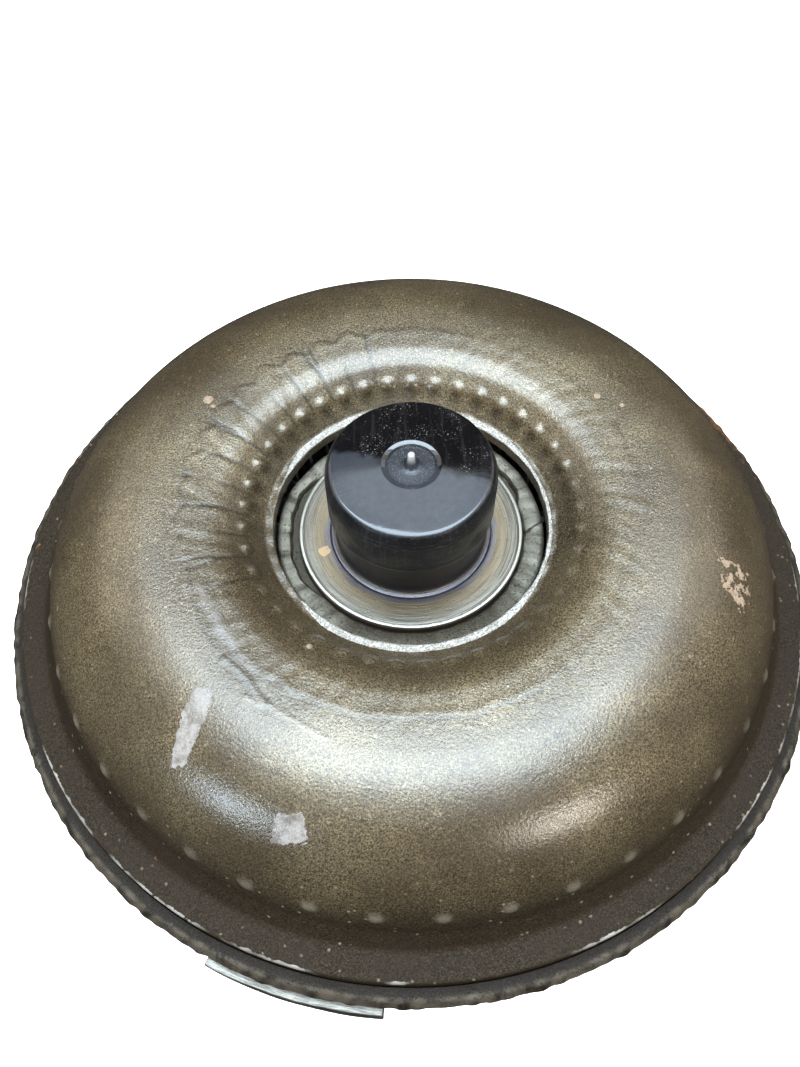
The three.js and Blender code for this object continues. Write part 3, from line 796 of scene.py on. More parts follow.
def cap_rubber():
    """Black rubber cap: glossy where it has been wiped, dusty elsewhere, with streaks down its wall, a
    painted blue-grey sky reflection over the front of its top and a painted highlight on the nub's tip.
    """
    material, n, place = begin("cap_rubber")
    polar = n.group(POLAR, Place=place)
    parts = n.add("ShaderNodeSeparateXYZ")
    n.feed(parts.inputs[0], place)
    x, y, z = parts.outputs
    wobble = n.times(n.less(n.noise(place, 0.12, 3.0), 0.5), 16.0)
    back = n.ease(n.plus(n.plus(y, n.times(x, 0.22)), wobble), -3.0, 1.5)
    top = n.ease(z, CAP_TOP - 1.4, CAP_TOP - 0.4)
    specks = n.group(FLECK, Place=place, Size=0.7, Share=0.30)["Mask"]
    fine = n.group(FLECK, Place=place, Size=0.36, Share=0.25)["Mask"]
    where = n.ease(n.noise(place, 0.10, 4.0, 0.65), 0.46, 0.66)
    dusty = n.times(where, n.blend(top, 0.55, n.spread(back, 0.12, 1.0)))
    dots = n.times(n.most(specks, n.times(fine, 0.8)), n.plus(dusty, 0.05))
    around = n.times(polar["Angle"], 30.0)
    streak = n.noise(n.joined(around, n.times(z, 0.05)), 1.0, 3.0, 0.7)
    streaks = n.times(n.ease(streak, 0.52, 0.72), n.rest(top))
    wipe = n.noise(n.joined(n.times(x, 0.55), n.times(y, 0.035)), 1.0, 3.0, 0.7)
    streaks = n.plus(streaks, n.times(n.times(n.ease(wipe, 0.52, 0.74), top), back))
    film = n.times(n.ease(n.noise(place, 0.07, 4.0, 0.7), 0.48, 0.70), 0.30)
    colour = n.mix(n.times(streaks, 0.30), (0.003, 0.003, 0.004), (0.06, 0.058, 0.055))
    colour = n.mix(n.times(film, 0.25), colour, (0.035, 0.036, 0.040))
    # painted reflection: blue-grey sky over the front half of the glossy top
    painted_sky_reflection = n.times(n.times(top, n.rest(back)), n.spread(n.noise(place, 0.5, 3.0, 0.6), 0.5, 1.0))
    colour = n.mix(painted_sky_reflection, colour, (0.042, 0.050, 0.064))
    colour = n.mix(n.times(dots, 0.6), colour, (0.20, 0.195, 0.185))
    sunk = n.times(n.ease(polar["Radius"], 1.8, 2.6), n.rest(n.ease(polar["Radius"], 7.0, 8.2)))
    sunk = n.times(sunk, n.ease(z, CAP_TOP - 3.0, CAP_TOP - 2.4))
    dust = n.group(FLECK, Place=place, Size=0.42, Share=0.5)["Mask"]
    colour = n.mix(n.times(sunk, n.spread(dust, 0.10, 1.0)), colour, (0.10, 0.115, 0.15))
    nub = n.rest(n.ease(polar["Radius"], 1.6, 2.6))
    # painted highlight: the nub's tip is made pale
    pale = n.times(nub, n.ease(z, CAP_TOP + 1.0, CAP_TOP + 4.2))
    colour = n.mix(n.times(pale, 0.8), colour, (0.50, 0.52, 0.55))
    moulded = n.noise(place, 2.4, 2.0)
    wiped = n.ease(n.noise(place, 0.10, 3.0), 0.40, 0.66)
    rough = n.blend(top, n.spread(wiped, 0.30, 0.55), n.spread(wiped, 0.05, 0.11))
    rough = n.plus(rough, n.plus(n.times(dots, 0.5), n.times(sunk, 0.35)))
    scuff = n.noise(n.joined(n.times(polar["Angle"], 9.0), n.times(z, 1.6)), 1.0, 4.0, 0.75)
    height = n.plus(n.times(moulded, 0.003), n.times(scuff, n.times(0.12, n.rest(top))))
    coat = n.times(top, n.spread(sunk, 1.0, 0.2))
    surface(n, colour, rough, 0.0, height, coat, coat_roughness=0.05, specular=0.25)
    return material


def inner_metal(name, colour, dark, roughness, grain, metal=1.0):
    """Oily inner metal: cloudy tone, fine grain, and a few dull specks."""
    material, n, place = begin(name)
    cloud = n.noise(place, 0.09, 4.0, 0.6)
    fine = n.noise(place, 1.0 / grain, 3.0, 0.7)
    tone = n.mix(n.ease(n.plus(n.times(cloud, 0.6), n.times(fine, 0.4)), 0.36, 0.64), dark, colour)
    specks = n.group(FLECK, Place=place, Size=1.2, Share=0.12)["Mask"]
    tone = n.mix(n.times(specks, 0.35), tone, dark)
    rough = n.spread(fine, roughness - 0.1, roughness + 0.12)
    surface(n, tone, rough, metal, n.times(fine, 0.05 * grain))
    return material


def friction_paper():
    """Porous friction lining: short fibres and pores, dark with oil."""
    material, n, place = begin("friction_paper")
    fibre = n.noise(n.scaled(place, (1.0, 3.0, 1.0)), 1.6, 5.0, 0.75)
    pores = n.group(PITS, Place=place, Size=0.6)["Mask"]
    colour = n.mix(n.ease(fibre, 0.35, 0.65), (0.055, 0.038, 0.024), (0.15, 0.105, 0.070))
    colour = n.mix(n.times(pores, 0.7), colour, (0.018, 0.013, 0.009))
    surface(n, colour, 0.8, 0.0, n.less(n.times(fibre, 0.1), n.times(pores, 0.1)))
    return material


# ---- impeller shell ----------------------------------------------------------------------------

# outlines and middles of single marks on the shell, as (x, y) in millimetres; a chip's third number is
# its radius
TAPE = [(-59, -60.8), (-54.5, -62.1), (-55.6, -68.1), (-60.9, -80.7), (-65.6, -80.8), (-62.6, -67.6)]
SQUARE = [(-36.2, -94.1), (-29.1, -94), (-27.9, -100.6), (-37.9, -100.4)]
SMEAR = [(41, -59.5), (45.1, -59.1), (60.6, -65.9), (53.1, -63.9)]
FLAKED = [(88, -22), (95, -19), (102, -24), (101, -33), (96, -38), (89, -33)]
CHIPS = [(-66.2, 39.5, 1.7), (-64.5, 36.9, 0.8), (61.9, 39.4, 1.2), (69.5, 35.4, 0.9), (-29.4, -47.9, 0.9)]
STREAK = [
    (-64.5, -24.4), (-61.1, -36.4), (-55.5, -46.6), (-50.2, -51.4),
    (-46.2, -48.4), (-52.3, -42.3), (-57, -34.6),
]
BLISTERS = [(-21, -48.9), (-29.0, -47.0), (-12.5, -50.5)]
RUN_EDGE = [(-65.3, -24.5), (-63.3, -33.9), (-59, -44.2), (-52.7, -52.8)]
RUN_DOWN = [(-52.7, -52.8), (-49.2, -55.7), (-45.7, -58.6), (-42.6, -63.4), (-39.2, -66.8)]
RUN_TAIL = [(-39.2, -66.8), (-33.7, -70.2), (-29.1, -73.1), (-23.5, -76.3)]
RUN_STUB = [(-45.6, -64.5), (-40.9, -66.8)]
SCRATCHES = [[(35.2, -73.5), (38.6, -77), (40.9, -81.9)], [(28, -86.3), (34.1, -85)]]


def shell_outer_path():
    """The shell's outer face: worn lip, steep slope up to the dimples, flat shoulder, torus, valley and
    flange. Its corners are eased and its rows lie closest where the dimples are."""
    slope = np.array([
        (LIP_R + 2.8, LIP_Z + 0.2),
        (49.2, LIP_Z + 2.6),
        (INNER_DIMPLE_R, LIP_Z + 5.4),
        (57.0, SHELL_TOP - 3.4),
        (60.0, SHELL_TOP - 2.0),
        (63.0, SHELL_TOP - 1.2),
        (70.0, SHELL_TOP - 0.4),
        (76.0, SHELL_TOP - 0.1),
    ])
    crown = arc(TORUS_R, TORUS_CENTRE_Z, TORUS_SECTION_R, 90, 11, 60)
    foot = np.array([(122.5, FLANGE_Z + 0.8), (SKIRT_R - 1.6, FLANGE_Z)])
    face = softened(np.vstack([slope, crown, foot]), 3.2)
    return respaced(face, (62.0, 93.0), (0.62, 0.84, 0.92))


def shell_path():
    """Closed section of the shell, and the number of its rows that belong to the outer face."""
    lip = rounded([(LIP_R, LIP_Z - SHELL_THICKNESS), (LIP_R, LIP_Z, 0.5), (LIP_R + 2.3, LIP_Z + 0.05)], 4)
    edge = rounded([(SKIRT_R - 1.3, FLANGE_Z), (SKIRT_R, FLANGE_Z - 0.1, 0.9), (SKIRT_R, FLANGE_Z - 4)], 5)
    skirt = stepped(np.array([(SKIRT_R, FLANGE_Z - 5), (SKIRT_R, SHELL_BOTTOM)]), 8)
    outer = np.vstack([stepped(lip, 0.9), shell_outer_path(), edge, skirt])
    inside = np.vstack([
        [(SKIRT_R - SHELL_THICKNESS, SHELL_BOTTOM), (SKIRT_R - SHELL_THICKNESS, FLANGE_Z - 4.2)],
        arc(TORUS_R, TORUS_CENTRE_Z, TORUS_SECTION_R - SHELL_THICKNESS, 6, 90, 7),
        [(60, SHELL_TOP - 6.4), (53.6, LIP_Z + 0.8), (47.5, LIP_Z - SHELL_THICKNESS)],
    ])
    return np.vstack([outer, inside]), len(outer)


COAT_EDGE_R = 70.6


def fold_radius(azimuth):
    """Where the thick coat on the slope ends: a wavy line."""
    return COAT_EDGE_R + 0.6 * waves(azimuth, 0.0, 5, (3, 7, 12, 19), 0)


def shell_relief(r, azimuth, along):
    """Height over the plain surface: raised dimples, creases between them, paint folds and runs. Also
    returns the painted shade, dark in the creases, along the fold, beside the runs, in the valley on the
    left and in the hollows on the hub side of the inner dimples at the back, and the painted highlight,
    pale on the dimples and on the run's tail and stub."""
    pitch = 360.0 / DIMPLES
    offset = (azimuth - DIMPLE_PHASE + pitch / 2) % pitch - pitch / 2
    number = np.floor((azimuth - DIMPLE_PHASE + pitch / 2) / pitch) % DIMPLES
    vary = np.random.default_rng(11).uniform(0.75, 1.2, DIMPLES)[number.astype(int)]
    inner_s = np.interp(INNER_DIMPLE_R, r[:, 0][: len(along)], along[:, 0])
    outer_s = np.interp(OUTER_DIMPLE_R, r[:, 0][: len(along)], along[:, 0])
    back = 0.55 + 0.45 * between(azimuth, 20, 220, 50)
    inner = 0.85 * vary * back * bump(np.hypot(along - inner_s, np.radians(offset) * r), 3.0)
    outer = 0.75 * vary * bump(np.hypot(along - outer_s, np.radians(offset) * r), 3.6)

    half = pitch / 2 - np.abs(offset)
    wander = 0.9 * waves(azimuth, r * 0.25, 7, (9, 14, 23), 1.0)
    crease = np.radians(half) * r + wander * ease(r, 56, 66)
    left = between(azimuth, 96, 212, 26)
    reach = ease(r, 49.5, 52.5) * (1 - ease(r, 67 + 2 * vary, 73 + 2 * vary))
    groove = ridge(crease, 0.55) * reach * (0.08 + 0.92 * left)
    fold = fold_radius(azimuth)
    scallop = 2.6 * np.cos(np.radians(offset) * DIMPLES / 2) ** 2
    line = r - fold - (scallop - 1.3) * left - 0.5 * waves(azimuth, r * 0.1, 21, (17, 29, 43), 0.5)
    folded = left * (1 - between(azimuth, 197, 225, 8))
    strength = 0.25 + 0.65 * folded + 0.65 * between(azimuth, 222, 300, 16)
    step = 0.07 * strength * (ridge(line + 0.9, 1.1) - 0.8 * ridge(line - 0.7, 0.6))
    grooves = -0.10 * groove
    uneven = 0.035 * waves(azimuth, r * 0.12, 3, (2, 3, 5, 8, 11), 0.6)
    lumpy = ease(r, 50, 56) * (1 - ease(r, 70, 76))
    lumps = 0.035 * lumpy * waves(azimuth, r * 0.6, 9, (31, 47, 59, 83), 1.2)
    x, y = plane(r, azimuth)
    run = line_distance(x, y, RUN_DOWN)
    tail = line_distance(x, y, RUN_TAIL)
    stub = line_distance(x, y, RUN_STUB)
    edge = line_distance(x, y, RUN_EDGE)
    runs = 0.13 * ridge(run, 0.7) - 0.08 * ridge(run - 1.3, 0.5) + 0.07 * ridge(edge - 0.8, 0.6)
    runs = runs + 0.14 * ridge(tail, 0.7) + 0.14 * ridge(stub, 0.8)
    blisters = 0
    for bx, by in BLISTERS:
        away = np.hypot(x - bx, y - by)
        blisters = blisters + 0.35 * bump(away, 2.2) - 0.18 * ridge(away - 2.6, 0.5)
    # painted shade: dark in the creases, along the fold line, beside the runs, in the valley on the left and
    # in the hollow on the hub side of the inner dimples at the back
    dark = np.clip(groove * 0.9 + 0.75 * strength * ridge(line - 0.5, 0.55), 0, 1)
    dark = np.maximum(dark, np.maximum(0.95 * ridge(run - 1.0, 0.45), 0.7 * ridge(edge, 0.5)))
    dark = np.maximum(dark, 0.50 * ridge(r - 120.5, 3.0) * between(azimuth, 140, 236, 40))
    hollow = bump(np.hypot(along - inner_s + 3.6, np.radians(offset) * r), 3.6)
    dark = np.maximum(dark, 0.75 * hollow * between(azimuth, 10, 185, 30))
    # painted highlight: pale on the dimple tops and on the ridges of the run's tail and stub
    painted_highlight = np.clip(1.5 * bump(np.hypot(along - outer_s, np.radians(offset) * r), 3.0), 0, 1)
    painted_highlight = np.maximum(painted_highlight, bump(np.hypot(along - inner_s, np.radians(offset) * r), 2.4))
    painted_highlight = np.maximum(painted_highlight, np.maximum(3.5 * ridge(tail - 0.2, 0.4), 5.0 * ridge(stub, 0.6)))
    return inner + outer + grooves + step + uneven + lumps + runs + blisters, dark, painted_highlight


def impeller_shell(finish):
    path, outer_rows = shell_path()
    azimuth = azimuths(SHELL_COLUMNS, DIMPLE_PHASE)
    r = path[:outer_rows, :1]
    along = np.concatenate([[0], np.cumsum(np.hypot(*np.diff(path[:outer_rows], axis=0).T))])[:, None]
    relief = np.zeros((len(path), SHELL_COLUMNS))
    painted_shade = np.zeros_like(relief)
    # dark holds the painted shade and high the painted highlight, each kept as an attribute for the paint
    lump, dark, high = shell_relief(r, azimuth, along)
    painted_highlight = np.zeros_like(relief)
    painted_highlight[:outer_rows] = high
    free = ease(r, LIP_R + 1.2, LIP_R + 4) * (1 - ease(r, SKIRT_R - 1.8, SKIRT_R - 0.6))
    relief[:outer_rows] = lump * free
    lip = 1 - ease(r, LIP_R + 2, LIP_R + 4)
    relief[:outer_rows] += 0.12 * lip * waves(azimuth, r, 13, (7, 13, 29, 41), 1.0)
    painted_shade[:outer_rows] = dark * free
    normal_r, normal_z = outward(path, True)
    radius = path[:, :1] + normal_r * relief
    z = path[:, 1:] + normal_z * relief
    x, y = plane(radius, azimuth)
    smear = np.maximum(patch_depth(x, y, SMEAR), patch_depth(x, y, STREAK))
    residue = np.maximum(patch_depth(x, y, TAPE), patch_depth(x, y, SQUARE))
    film = np.where(smear > residue, 0.40 * ease(smear, -0.5, 2.5), 0.80)
    residue = np.maximum(residue, smear)
    flaked = np.minimum(patch_depth(x, y, FLAKED), 3.0) - 2.6
    chips = np.full(x.shape, -9.0)
    for cx, cy, size in CHIPS:
        chips = np.maximum(chips, size - np.hypot(x - cx, y - cy))
    scratches = np.full(x.shape, -9.0)
    for points in SCRATCHES:
        scratches = np.maximum(scratches, 0.30 - line_distance(x, y, points))
    rust = 0.62 * between(azimuth, 14, 48, 14) * ease(radius, 125, 131)
    rust = np.maximum(rust, 0.36 * between(azimuth, 110, 190, 40) * ease(radius, 127, 131))
    rust = np.maximum(rust, 0.12 * ease(radius, 118, 127))
    lip_covered = 0.80 * between(azimuth, 152, 226, 24)
    values = {
        "painted_shade": painted_shade,
        "residue": np.clip(residue, -9, 9),
        "film": film,
        "lip_rubbed": 1 - lip_covered - 0.50 * between(azimuth, -40, 38, 30),
        "painted_highlight": painted_highlight,
        "flaked": flaked,
        "chipped": chips,
        "scratched": scratches,
        "rusty": rust,
    }
    grid_piece(
        "impeller_shell_skin", x, y, z, True, finish, "housing_paint", ("impeller_shell",), values=values
    )


# ---- welds ---------------------------------------------------------------------------------------


def rim_weld(finish):
    """Rim weld: a rounded bead with ripples laid every 2 mm and slow lumps along it."""
    inner = SKIRT_R + 0.35
    path = rounded([
        (inner, BEAD_BOTTOM),
        (BEAD_R - 1.6, BEAD_BOTTOM),
        (BEAD_R - 0.1, BEAD_BOTTOM + 1.7, 1.4),
        (BEAD_R - 1.7, BEAD_BOTTOM + 4.2, 1.6),
        (inner, BEAD_TOP - 0.1),
    ], 6)
    path = stepped(path, 0.7)
    azimuth = azimuths(RIM_WELD_COLUMNS)
    part = np.linspace(0, 1, len(path))[:, None]
    bow = 3.0 * (part - 0.5) ** 2
    drift = 2.2 * waves(azimuth, 0, 31, (5, 9, 14), 0)
    ripple = np.cos(np.radians(azimuth) * RIM_WELD_RIPPLES + drift + bow * 6)
    ripple = ripple * (0.5 + 0.5 * waves(azimuth, 0, 35, (11, 19, 31), 0)) ** 2
    lumps = waves(azimuth, part * 6, 33, (23, 41, 67, 97, 131, 173), 2.0)
    face = np.sin(np.pi * np.clip(part * 1.05, 0, 1)) ** 0.5
    relief = face * (0.05 * ripple + 0.22 * lumps - 0.30)
    normal_r, normal_z = outward(path, True)
    r = path[:, :1] + normal_r * relief
    z = path[:, 1:] + normal_z * relief
    # painted shade on the inner half of the bead, by the skirt, and a painted highlight on the ripple crests
    # and lumps of its outer half
    lit_outer_half = 0.85 * ease(r, BEAD_R - 3.4, BEAD_R - 1.6) * (z > BEAD_BOTTOM + 0.8)
    values = {"raised": np.clip(lit_outer_half * (0.55 + 0.15 * ripple + 0.35 * lumps), 0, 1)}
    x, y = plane(r, azimuth)
    grid_piece("rim_weld", x, y, z, True, finish, "weld_bead", ("rim_weld_bead",), values=values)


def hub_weld(finish):
    """Hub weld: a bead that leaves the flange on the left, ends in a blob and laps itself on the right."""
    azimuth = azimuths(HUB_WELD_COLUMNS)
    across = np.linspace(0, 1, 22)[:, None]
    outer_gap = 0.05 + 0.10 * waves(azimuth, 0, 41, (5, 9, 13), 0)
    outer_gap = outer_gap + 1.2 * between(azimuth, 118, 152, 16)
    left_gap = 2.4 * between(azimuth, 152, 214, 16)
    right_gap = 2.0 * between(azimuth, 18, 70, 16)
    ragged = 0.25 * waves(azimuth, 0, 43, (7, 17, 31), 0)
    inner_r = HUB_FLANGE_R + 0.15
    outer_r = HUB_BEAD_R - outer_gap
    width = outer_r - inner_r
    crown = np.sin(np.pi * across) ** 0.35
    ripple = np.cos(np.radians(azimuth) * HUB_WELD_RIPPLES + 4.0 * (across - 0.5) ** 2)
    lumps = waves(azimuth, across * 4, 45, (13, 23, 37, 59), 1.0)
    blob = bump(np.hypot((across - 0.4) * 6, turn_gap(azimuth, 150) * 0.70), 3.2)
    lap = bump(np.hypot((across - 0.5) * 6, turn_gap(azimuth, 3) * 0.55), 4.0)
    split = ridge(turn_gap(azimuth, 0.5 + 6 * (across - 0.5)), 0.5)
    lean = across - 0.5
    from_flange = across * width
    gap = left_gap + right_gap + ragged
    full = ease(from_flange, gap - 0.1, gap + 0.7)
    top = HUB_BEAD_BOTTOM + 0.6 + full * (0.4 + crown * (1.6 + lean + 0.02 * ripple + 0.09 * lumps))
    top = top + 0.45 * blob + 0.35 * lap - 0.5 * split * crown
    under_part = np.linspace(1, 0, 4)[1:-1, None]
    under = np.full((len(under_part), HUB_WELD_COLUMNS), HUB_BEAD_BOTTOM)
    r = np.vstack([inner_r + from_flange, inner_r + under_part * width])
    z = np.vstack([np.minimum(top, HUB_BEAD_TOP + 0.4), under])
    # painted highlight on the ripples, lumps, end blob and lap, painted shade in the split and across the
    # bead's front
    raised = np.clip(0.5 + 0.05 * ripple + 0.25 * lumps + 0.5 * blob + 0.4 * lap - split, 0, 1) * full
    raised = raised * (1 - 0.85 * between(azimuth, 232, 322, 30))
    values = {"raised": np.vstack([raised, np.zeros_like(under)])}
    x, y = plane(r, azimuth)
    grid_piece("hub_weld", x, y, z, True, finish, "weld_bead", ("hub_weld_bead",), values=values)


# ---- hub and cap ---------------------------------------------------------------------------------


def slot_warp(radius, columns):
    """Azimuths of a ring of columns that bunch at the walls of the two pump slots. Each quarter runs
    from a slot's middle to its wall and on to the next quarter, and the wall stands where the height
    over the X axis is half the slot's width."""
    quarter = columns // 4
    share = quarter // 4
    wall = np.degrees(np.arcsin(np.minimum(0.95, SLOT_WIDTH / 2 / np.maximum(radius, 1))))
    into = np.linspace(0, 1, share)[None, :] * wall
    gap = 0.22
    onward = wall + gap + np.linspace(0, 1, quarter - share + 1)[None, :-1] * (90 - wall - gap)
    first = np.hstack([into, onward])
    low = np.hstack([np.ones_like(into), np.zeros_like(onward)]) * np.ones_like(first)
    second = 180 - np.hstack([np.full_like(wall, 90.0), first[:, :0:-1]])
    low_second = np.hstack([np.zeros_like(wall), low[:, :0:-1]])
    half = np.hstack([first, second])
    low_half = np.hstack([low, low_second])
    return np.hstack([half, half + 180]), np.hstack([low_half, low_half])


def impeller_hub(finish):
    """Flange and tube in one turned path. Points of the tube's end drop to the slot floor between the
    slot walls."""
    path = rounded([
        (BORE_R, HUB_BOTTOM),
        (HUB_FLANGE_R, HUB_BOTTOM, 0.3),
        (HUB_FLANGE_R, HUB_FLANGE_Z, 0.45),
        (34.9, HUB_FLANGE_Z, 0.15),
        (34.6, HUB_FLANGE_Z - 0.25, 0.15),
        (34.2, HUB_FLANGE_Z - 0.05, 0.15),
        (TUBE_R + 2.3, HUB_FLANGE_Z - 0.1, 0.4),
        (TUBE_R + 1.6, HUB_FLANGE_Z - 0.35, 0.4),
        (TUBE_R, HUB_FLANGE_Z + 0.3, 1.2),
        (TUBE_R, HUB_END - 1.0, 0.2),
        (TUBE_R - 1.0, HUB_END, 0.2),
        (BORE_R + 0.7, HUB_END, 0.2),
        (BORE_R, HUB_END - 0.7, 0.2),
        (BORE_R, HUB_BOTTOM + 0.1),
    ], 5)
    path = stepped(path, 1.6)
    r, height = path[:, :1], path[:, 1:]
    azimuth, in_slot = slot_warp(r, HUB_COLUMNS)
    slot_floor = HUB_END - SLOT_DEPTH
    sunk = slot_floor - 0.02 * (HUB_END - height)
    z = np.where((in_slot > 0.5) & (height > slot_floor), sunk, height)
    x, y = plane(r, azimuth)
    spot_x, spot_y, spot_r = HUB_SPOT
    values = {"spotted": spot_r - np.hypot(x - spot_x, y - spot_y)}
    grid_piece("hub_turned", x, y, z, True, finish, "machined_steel", ("impeller_hub",), values=values)


def shipping_cap(finish):
    """Cap: crowned top with a sunk ring and a moulding nub in its middle, rounded edge, two parting lines
    round its wall, a lip at its mouth, and the plain bore inside."""
    outside = rounded([
        (0.25, NUB_TOP),
        (1.0, NUB_TOP - 0.05, 0.5),
        (1.25, CAP_TOP + 2.0, 0.5),
        (1.9, CAP_TOP - 0.4, 1.0),
        (3.4, CAP_TOP - 0.9, 1.0),
        (6.9, CAP_TOP - 1.1, 0.8),
        (7.6, CAP_TOP - 0.4, 0.5),
        (8.8, CAP_TOP, 0.6),
        (CAP_R - 1.2, CAP_TOP - 0.8, 2.0),
        (CAP_R - 0.15, CAP_TOP - 3.7, 1.5),
        (CAP_R - 0.1, CAP_TOP - 4.1),
        (CAP_R - 0.35, CAP_TOP - 4.35),
        (CAP_R - 0.1, CAP_TOP - 4.6),
        (CAP_R - 0.05, CAP_TOP - 5.9),
        (CAP_R - 0.28, CAP_TOP - 6.15),
        (CAP_R - 0.05, CAP_TOP - 6.4),
        (CAP_R - 0.05, CAP_BOTTOM + 1.6),
        (CAP_R, CAP_BOTTOM + 1.2, 0.2),
        (CAP_R, CAP_BOTTOM, 0.4),
        (CAP_BORE_R + 0.4, CAP_BOTTOM, 0.3),
        (CAP_BORE_R, CAP_BOTTOM + 0.6, 0.3),
        (CAP_BORE_R, CAP_CEILING, 1.0),
        (0.5, CAP_CEILING),
    ], 6)
    path = stepped(outside, 1.3)[::-1]
    wall = ease(path[:, :1], CAP_R - 3, CAP_R - 1)

    def sag(r, azimuth):
        return 0.06 * wall * (waves(azimuth, path[:, 1:] * 0.3, 51, (2, 3, 5), 0.4) - 1.5)

    turned_piece(
        "cap_moulding", path, CAP_COLUMNS, sag, finish, "cap_rubber", stands_for=("shipping_cap",), body="cap"
    )


# ---- cover side ----------------------------------------------------------------------------------


def front_cover(finish):
    """Dished cover: centre disc, annulus with a press step, rounded corner and wall; then its inner face."""
    wall_in = SKIRT_R + 0.3
    annulus = COVER_BOTTOM + 2
    sheet = 4
    outside = rounded([
        (1.5, COVER_BOTTOM),
        (50, COVER_BOTTOM, 6),
        (60, annulus, 6),
        (86, annulus, 2),
        (88, annulus + 0.6, 2),
        (124, annulus + 0.6, 4),
        (COVER_R, annulus + 14, 10),
        (COVER_R, COVER_TOP, 0.4),
        (wall_in, COVER_TOP, 0.3),
        (wall_in, annulus + sheet + 12, 12),
        (116, annulus + sheet, 4),
        (60, annulus + sheet, 6),
        (50, COVER_BOTTOM + sheet, 6),
        (1.5, COVER_BOTTOM + sheet),
    ], 8)
    path = stepped(outside, 3.0)[::-1]

    def uneven(r, azimuth):
        return 0.03 * waves(azimuth, r * 0.1, 61, (3, 5, 8), 0.5) - 0.05

    turned_piece(
        "cover_pressing", path, COVER_COLUMNS, uneven, finish, "housing_paint", stands_for=("front_cover",)
    )


def lug_place(number):
    """Centre of a drive lug, from its box in the frame."""
    return (low_mm(f"drive_lug_{number}") + high_mm(f"drive_lug_{number}"))[:2] / 2


def drive_lugs(pad_finish, weld_finish):
    """Each lug is a turned pad with a threaded hole: inside the hole the radius swings with the height
    and the azimuth together, which makes the thread's helix. A rippled fillet weld rings its foot."""
    pad = rounded([
        (LUG_HOLE_R, LUG_TOP),
        (LUG_R, LUG_TOP, 0.3),
        (LUG_R, 0.0, 0.9),
        (LUG_HOLE_R + 1.2, 0.0, 0.3),
        (LUG_HOLE_R, 1.2),
    ], 6)
    hole = np.column_stack([np.full(44, LUG_HOLE_R), np.linspace(1.4, LUG_TOP - 0.1, 44)])
    path = np.vstack([stepped(pad, 1.2), hole])

    def thread(r, azimuth):
        inside = ease(path[:, 1:], 0.9, 1.6) * (np.abs(r - LUG_HOLE_R) < 0.01)
        turn = path[:, 1:] / LUG_THREAD + azimuth / 360
        return -0.42 * inside * np.abs((turn % 1) * 2 - 1)

    bead = rounded([
        (LUG_R + 0.1, LUG_TOP + 0.2),
        (LUG_R + 3.1, LUG_TOP + 0.2, 0.3),
        (LUG_R + 1.6, LUG_TOP - 1.3, 1.4),
        (LUG_R + 0.1, LUG_TOP - 2.8, 0.3),
        (LUG_R + 0.1, LUG_TOP + 0.1),
    ], 6)
    bead = stepped(bead, 0.6)[::-1]

    def ripples(r, azimuth):
        face = ease(LUG_TOP + 0.1 - bead[:, 1:], 0.0, 0.6) * ease(r, LUG_R + 0.1, LUG_R + 0.7)
        ripple = np.cos(np.radians(azimuth) * LUG_WELD_RIPPLES)
        return face * (0.13 * ripple + 0.1 * waves(azimuth, r, 71, (5, 9, 13), 1.0))

    for number in range(1, LUG_COUNT + 1):
        centre = tuple(lug_place(number))
        node = f"drive_lug_{number}"
        turned_piece(
            f"lug_pad_{number}", path, LUG_COLUMNS, thread, pad_finish, "housing_paint", closed=True,
            stands_for=(node,), centre=centre,
        )
        turned_piece(
            f"lug_weld_{number}", bead, LUG_WELD_COLUMNS, ripples, weld_finish, "weld_bead", closed=True,
            centre=centre,
        )


def pilot_boss(finish):
    """Pilot: a turned boss with a centre hole left by the lathe and a weld flare at its foot."""
    path = rounded([
        (0.6, PILOT_TOP),
        (PILOT_R + 3.0, PILOT_TOP, 0.3),
        (PILOT_R + 1.2, PILOT_TOP - 0.9, 0.8),
        (PILOT_R, PILOT_TOP - 1.9, 1.0),
        (PILOT_R, PILOT_BOTTOM, 1.3),
        (3.2, PILOT_BOTTOM, 0.2),
        (1.2, PILOT_BOTTOM + 2.2, 0.2),
        (0.4, PILOT_BOTTOM + 2.4),
    ], 7)
    path = stepped(path, 0.9)
    turned_piece(
        "pilot_turned", path, PILOT_COLUMNS, None, finish, "housing_paint", stands_for=("pilot_boss",)
    )


def balance_weight(finish):
    """Flat strip bent round the cover wall: a rounded rectangle carried along the arc, hammered uneven,
    with both ends cut square."""
    inner = COVER_R + 0.35
    outer = WEIGHT_R - 0.25
    low, high = WEIGHT_BOTTOM + 0.1, WEIGHT_TOP - 0.1
    mid = (low + high) / 2
    loop = rounded([
        (inner, mid),
        (inner, high, 0.5),
        (outer, high, 0.5),
        (outer, low, 0.5),
        (inner, low, 0.5),
        (inner, mid),
    ], 5)
    loop = stepped(loop, 1.0)[:-1]
    centre = loop.mean(0)
    ends = np.array([0.80, 0.93, 1.0])
    shrink = np.concatenate([ends, np.ones(60), ends[::-1]])[:, None]
    edge = 0.12 * np.array([0.0, 0.4, 1.0])
    inner_run = np.linspace(WEIGHT_FROM + 0.3, WEIGHT_TO - 0.3, 60)
    azimuth = np.concatenate([WEIGHT_FROM + edge, inner_run, WEIGHT_TO - edge[::-1]])[:, None]
    dent = 0.12 * waves(azimuth * 3, loop[None, :, 1] * 0.5, 81, (5, 9, 16), 1.0)
    r = centre[0] + (loop[None, :, 0] - centre[0]) * shrink + dent * 0.5 * (loop[None, :, 0] > centre[0])
    z = centre[1] + (loop[None, :, 1] - centre[1]) * shrink + dent * 0.3
    x, y = plane(r, azimuth)
    grid_piece("weight_strip", x, y, z, False, finish, "bare_steel", ("balance_weight",))


# ---- inner pieces --------------------------------------------------------------------------------


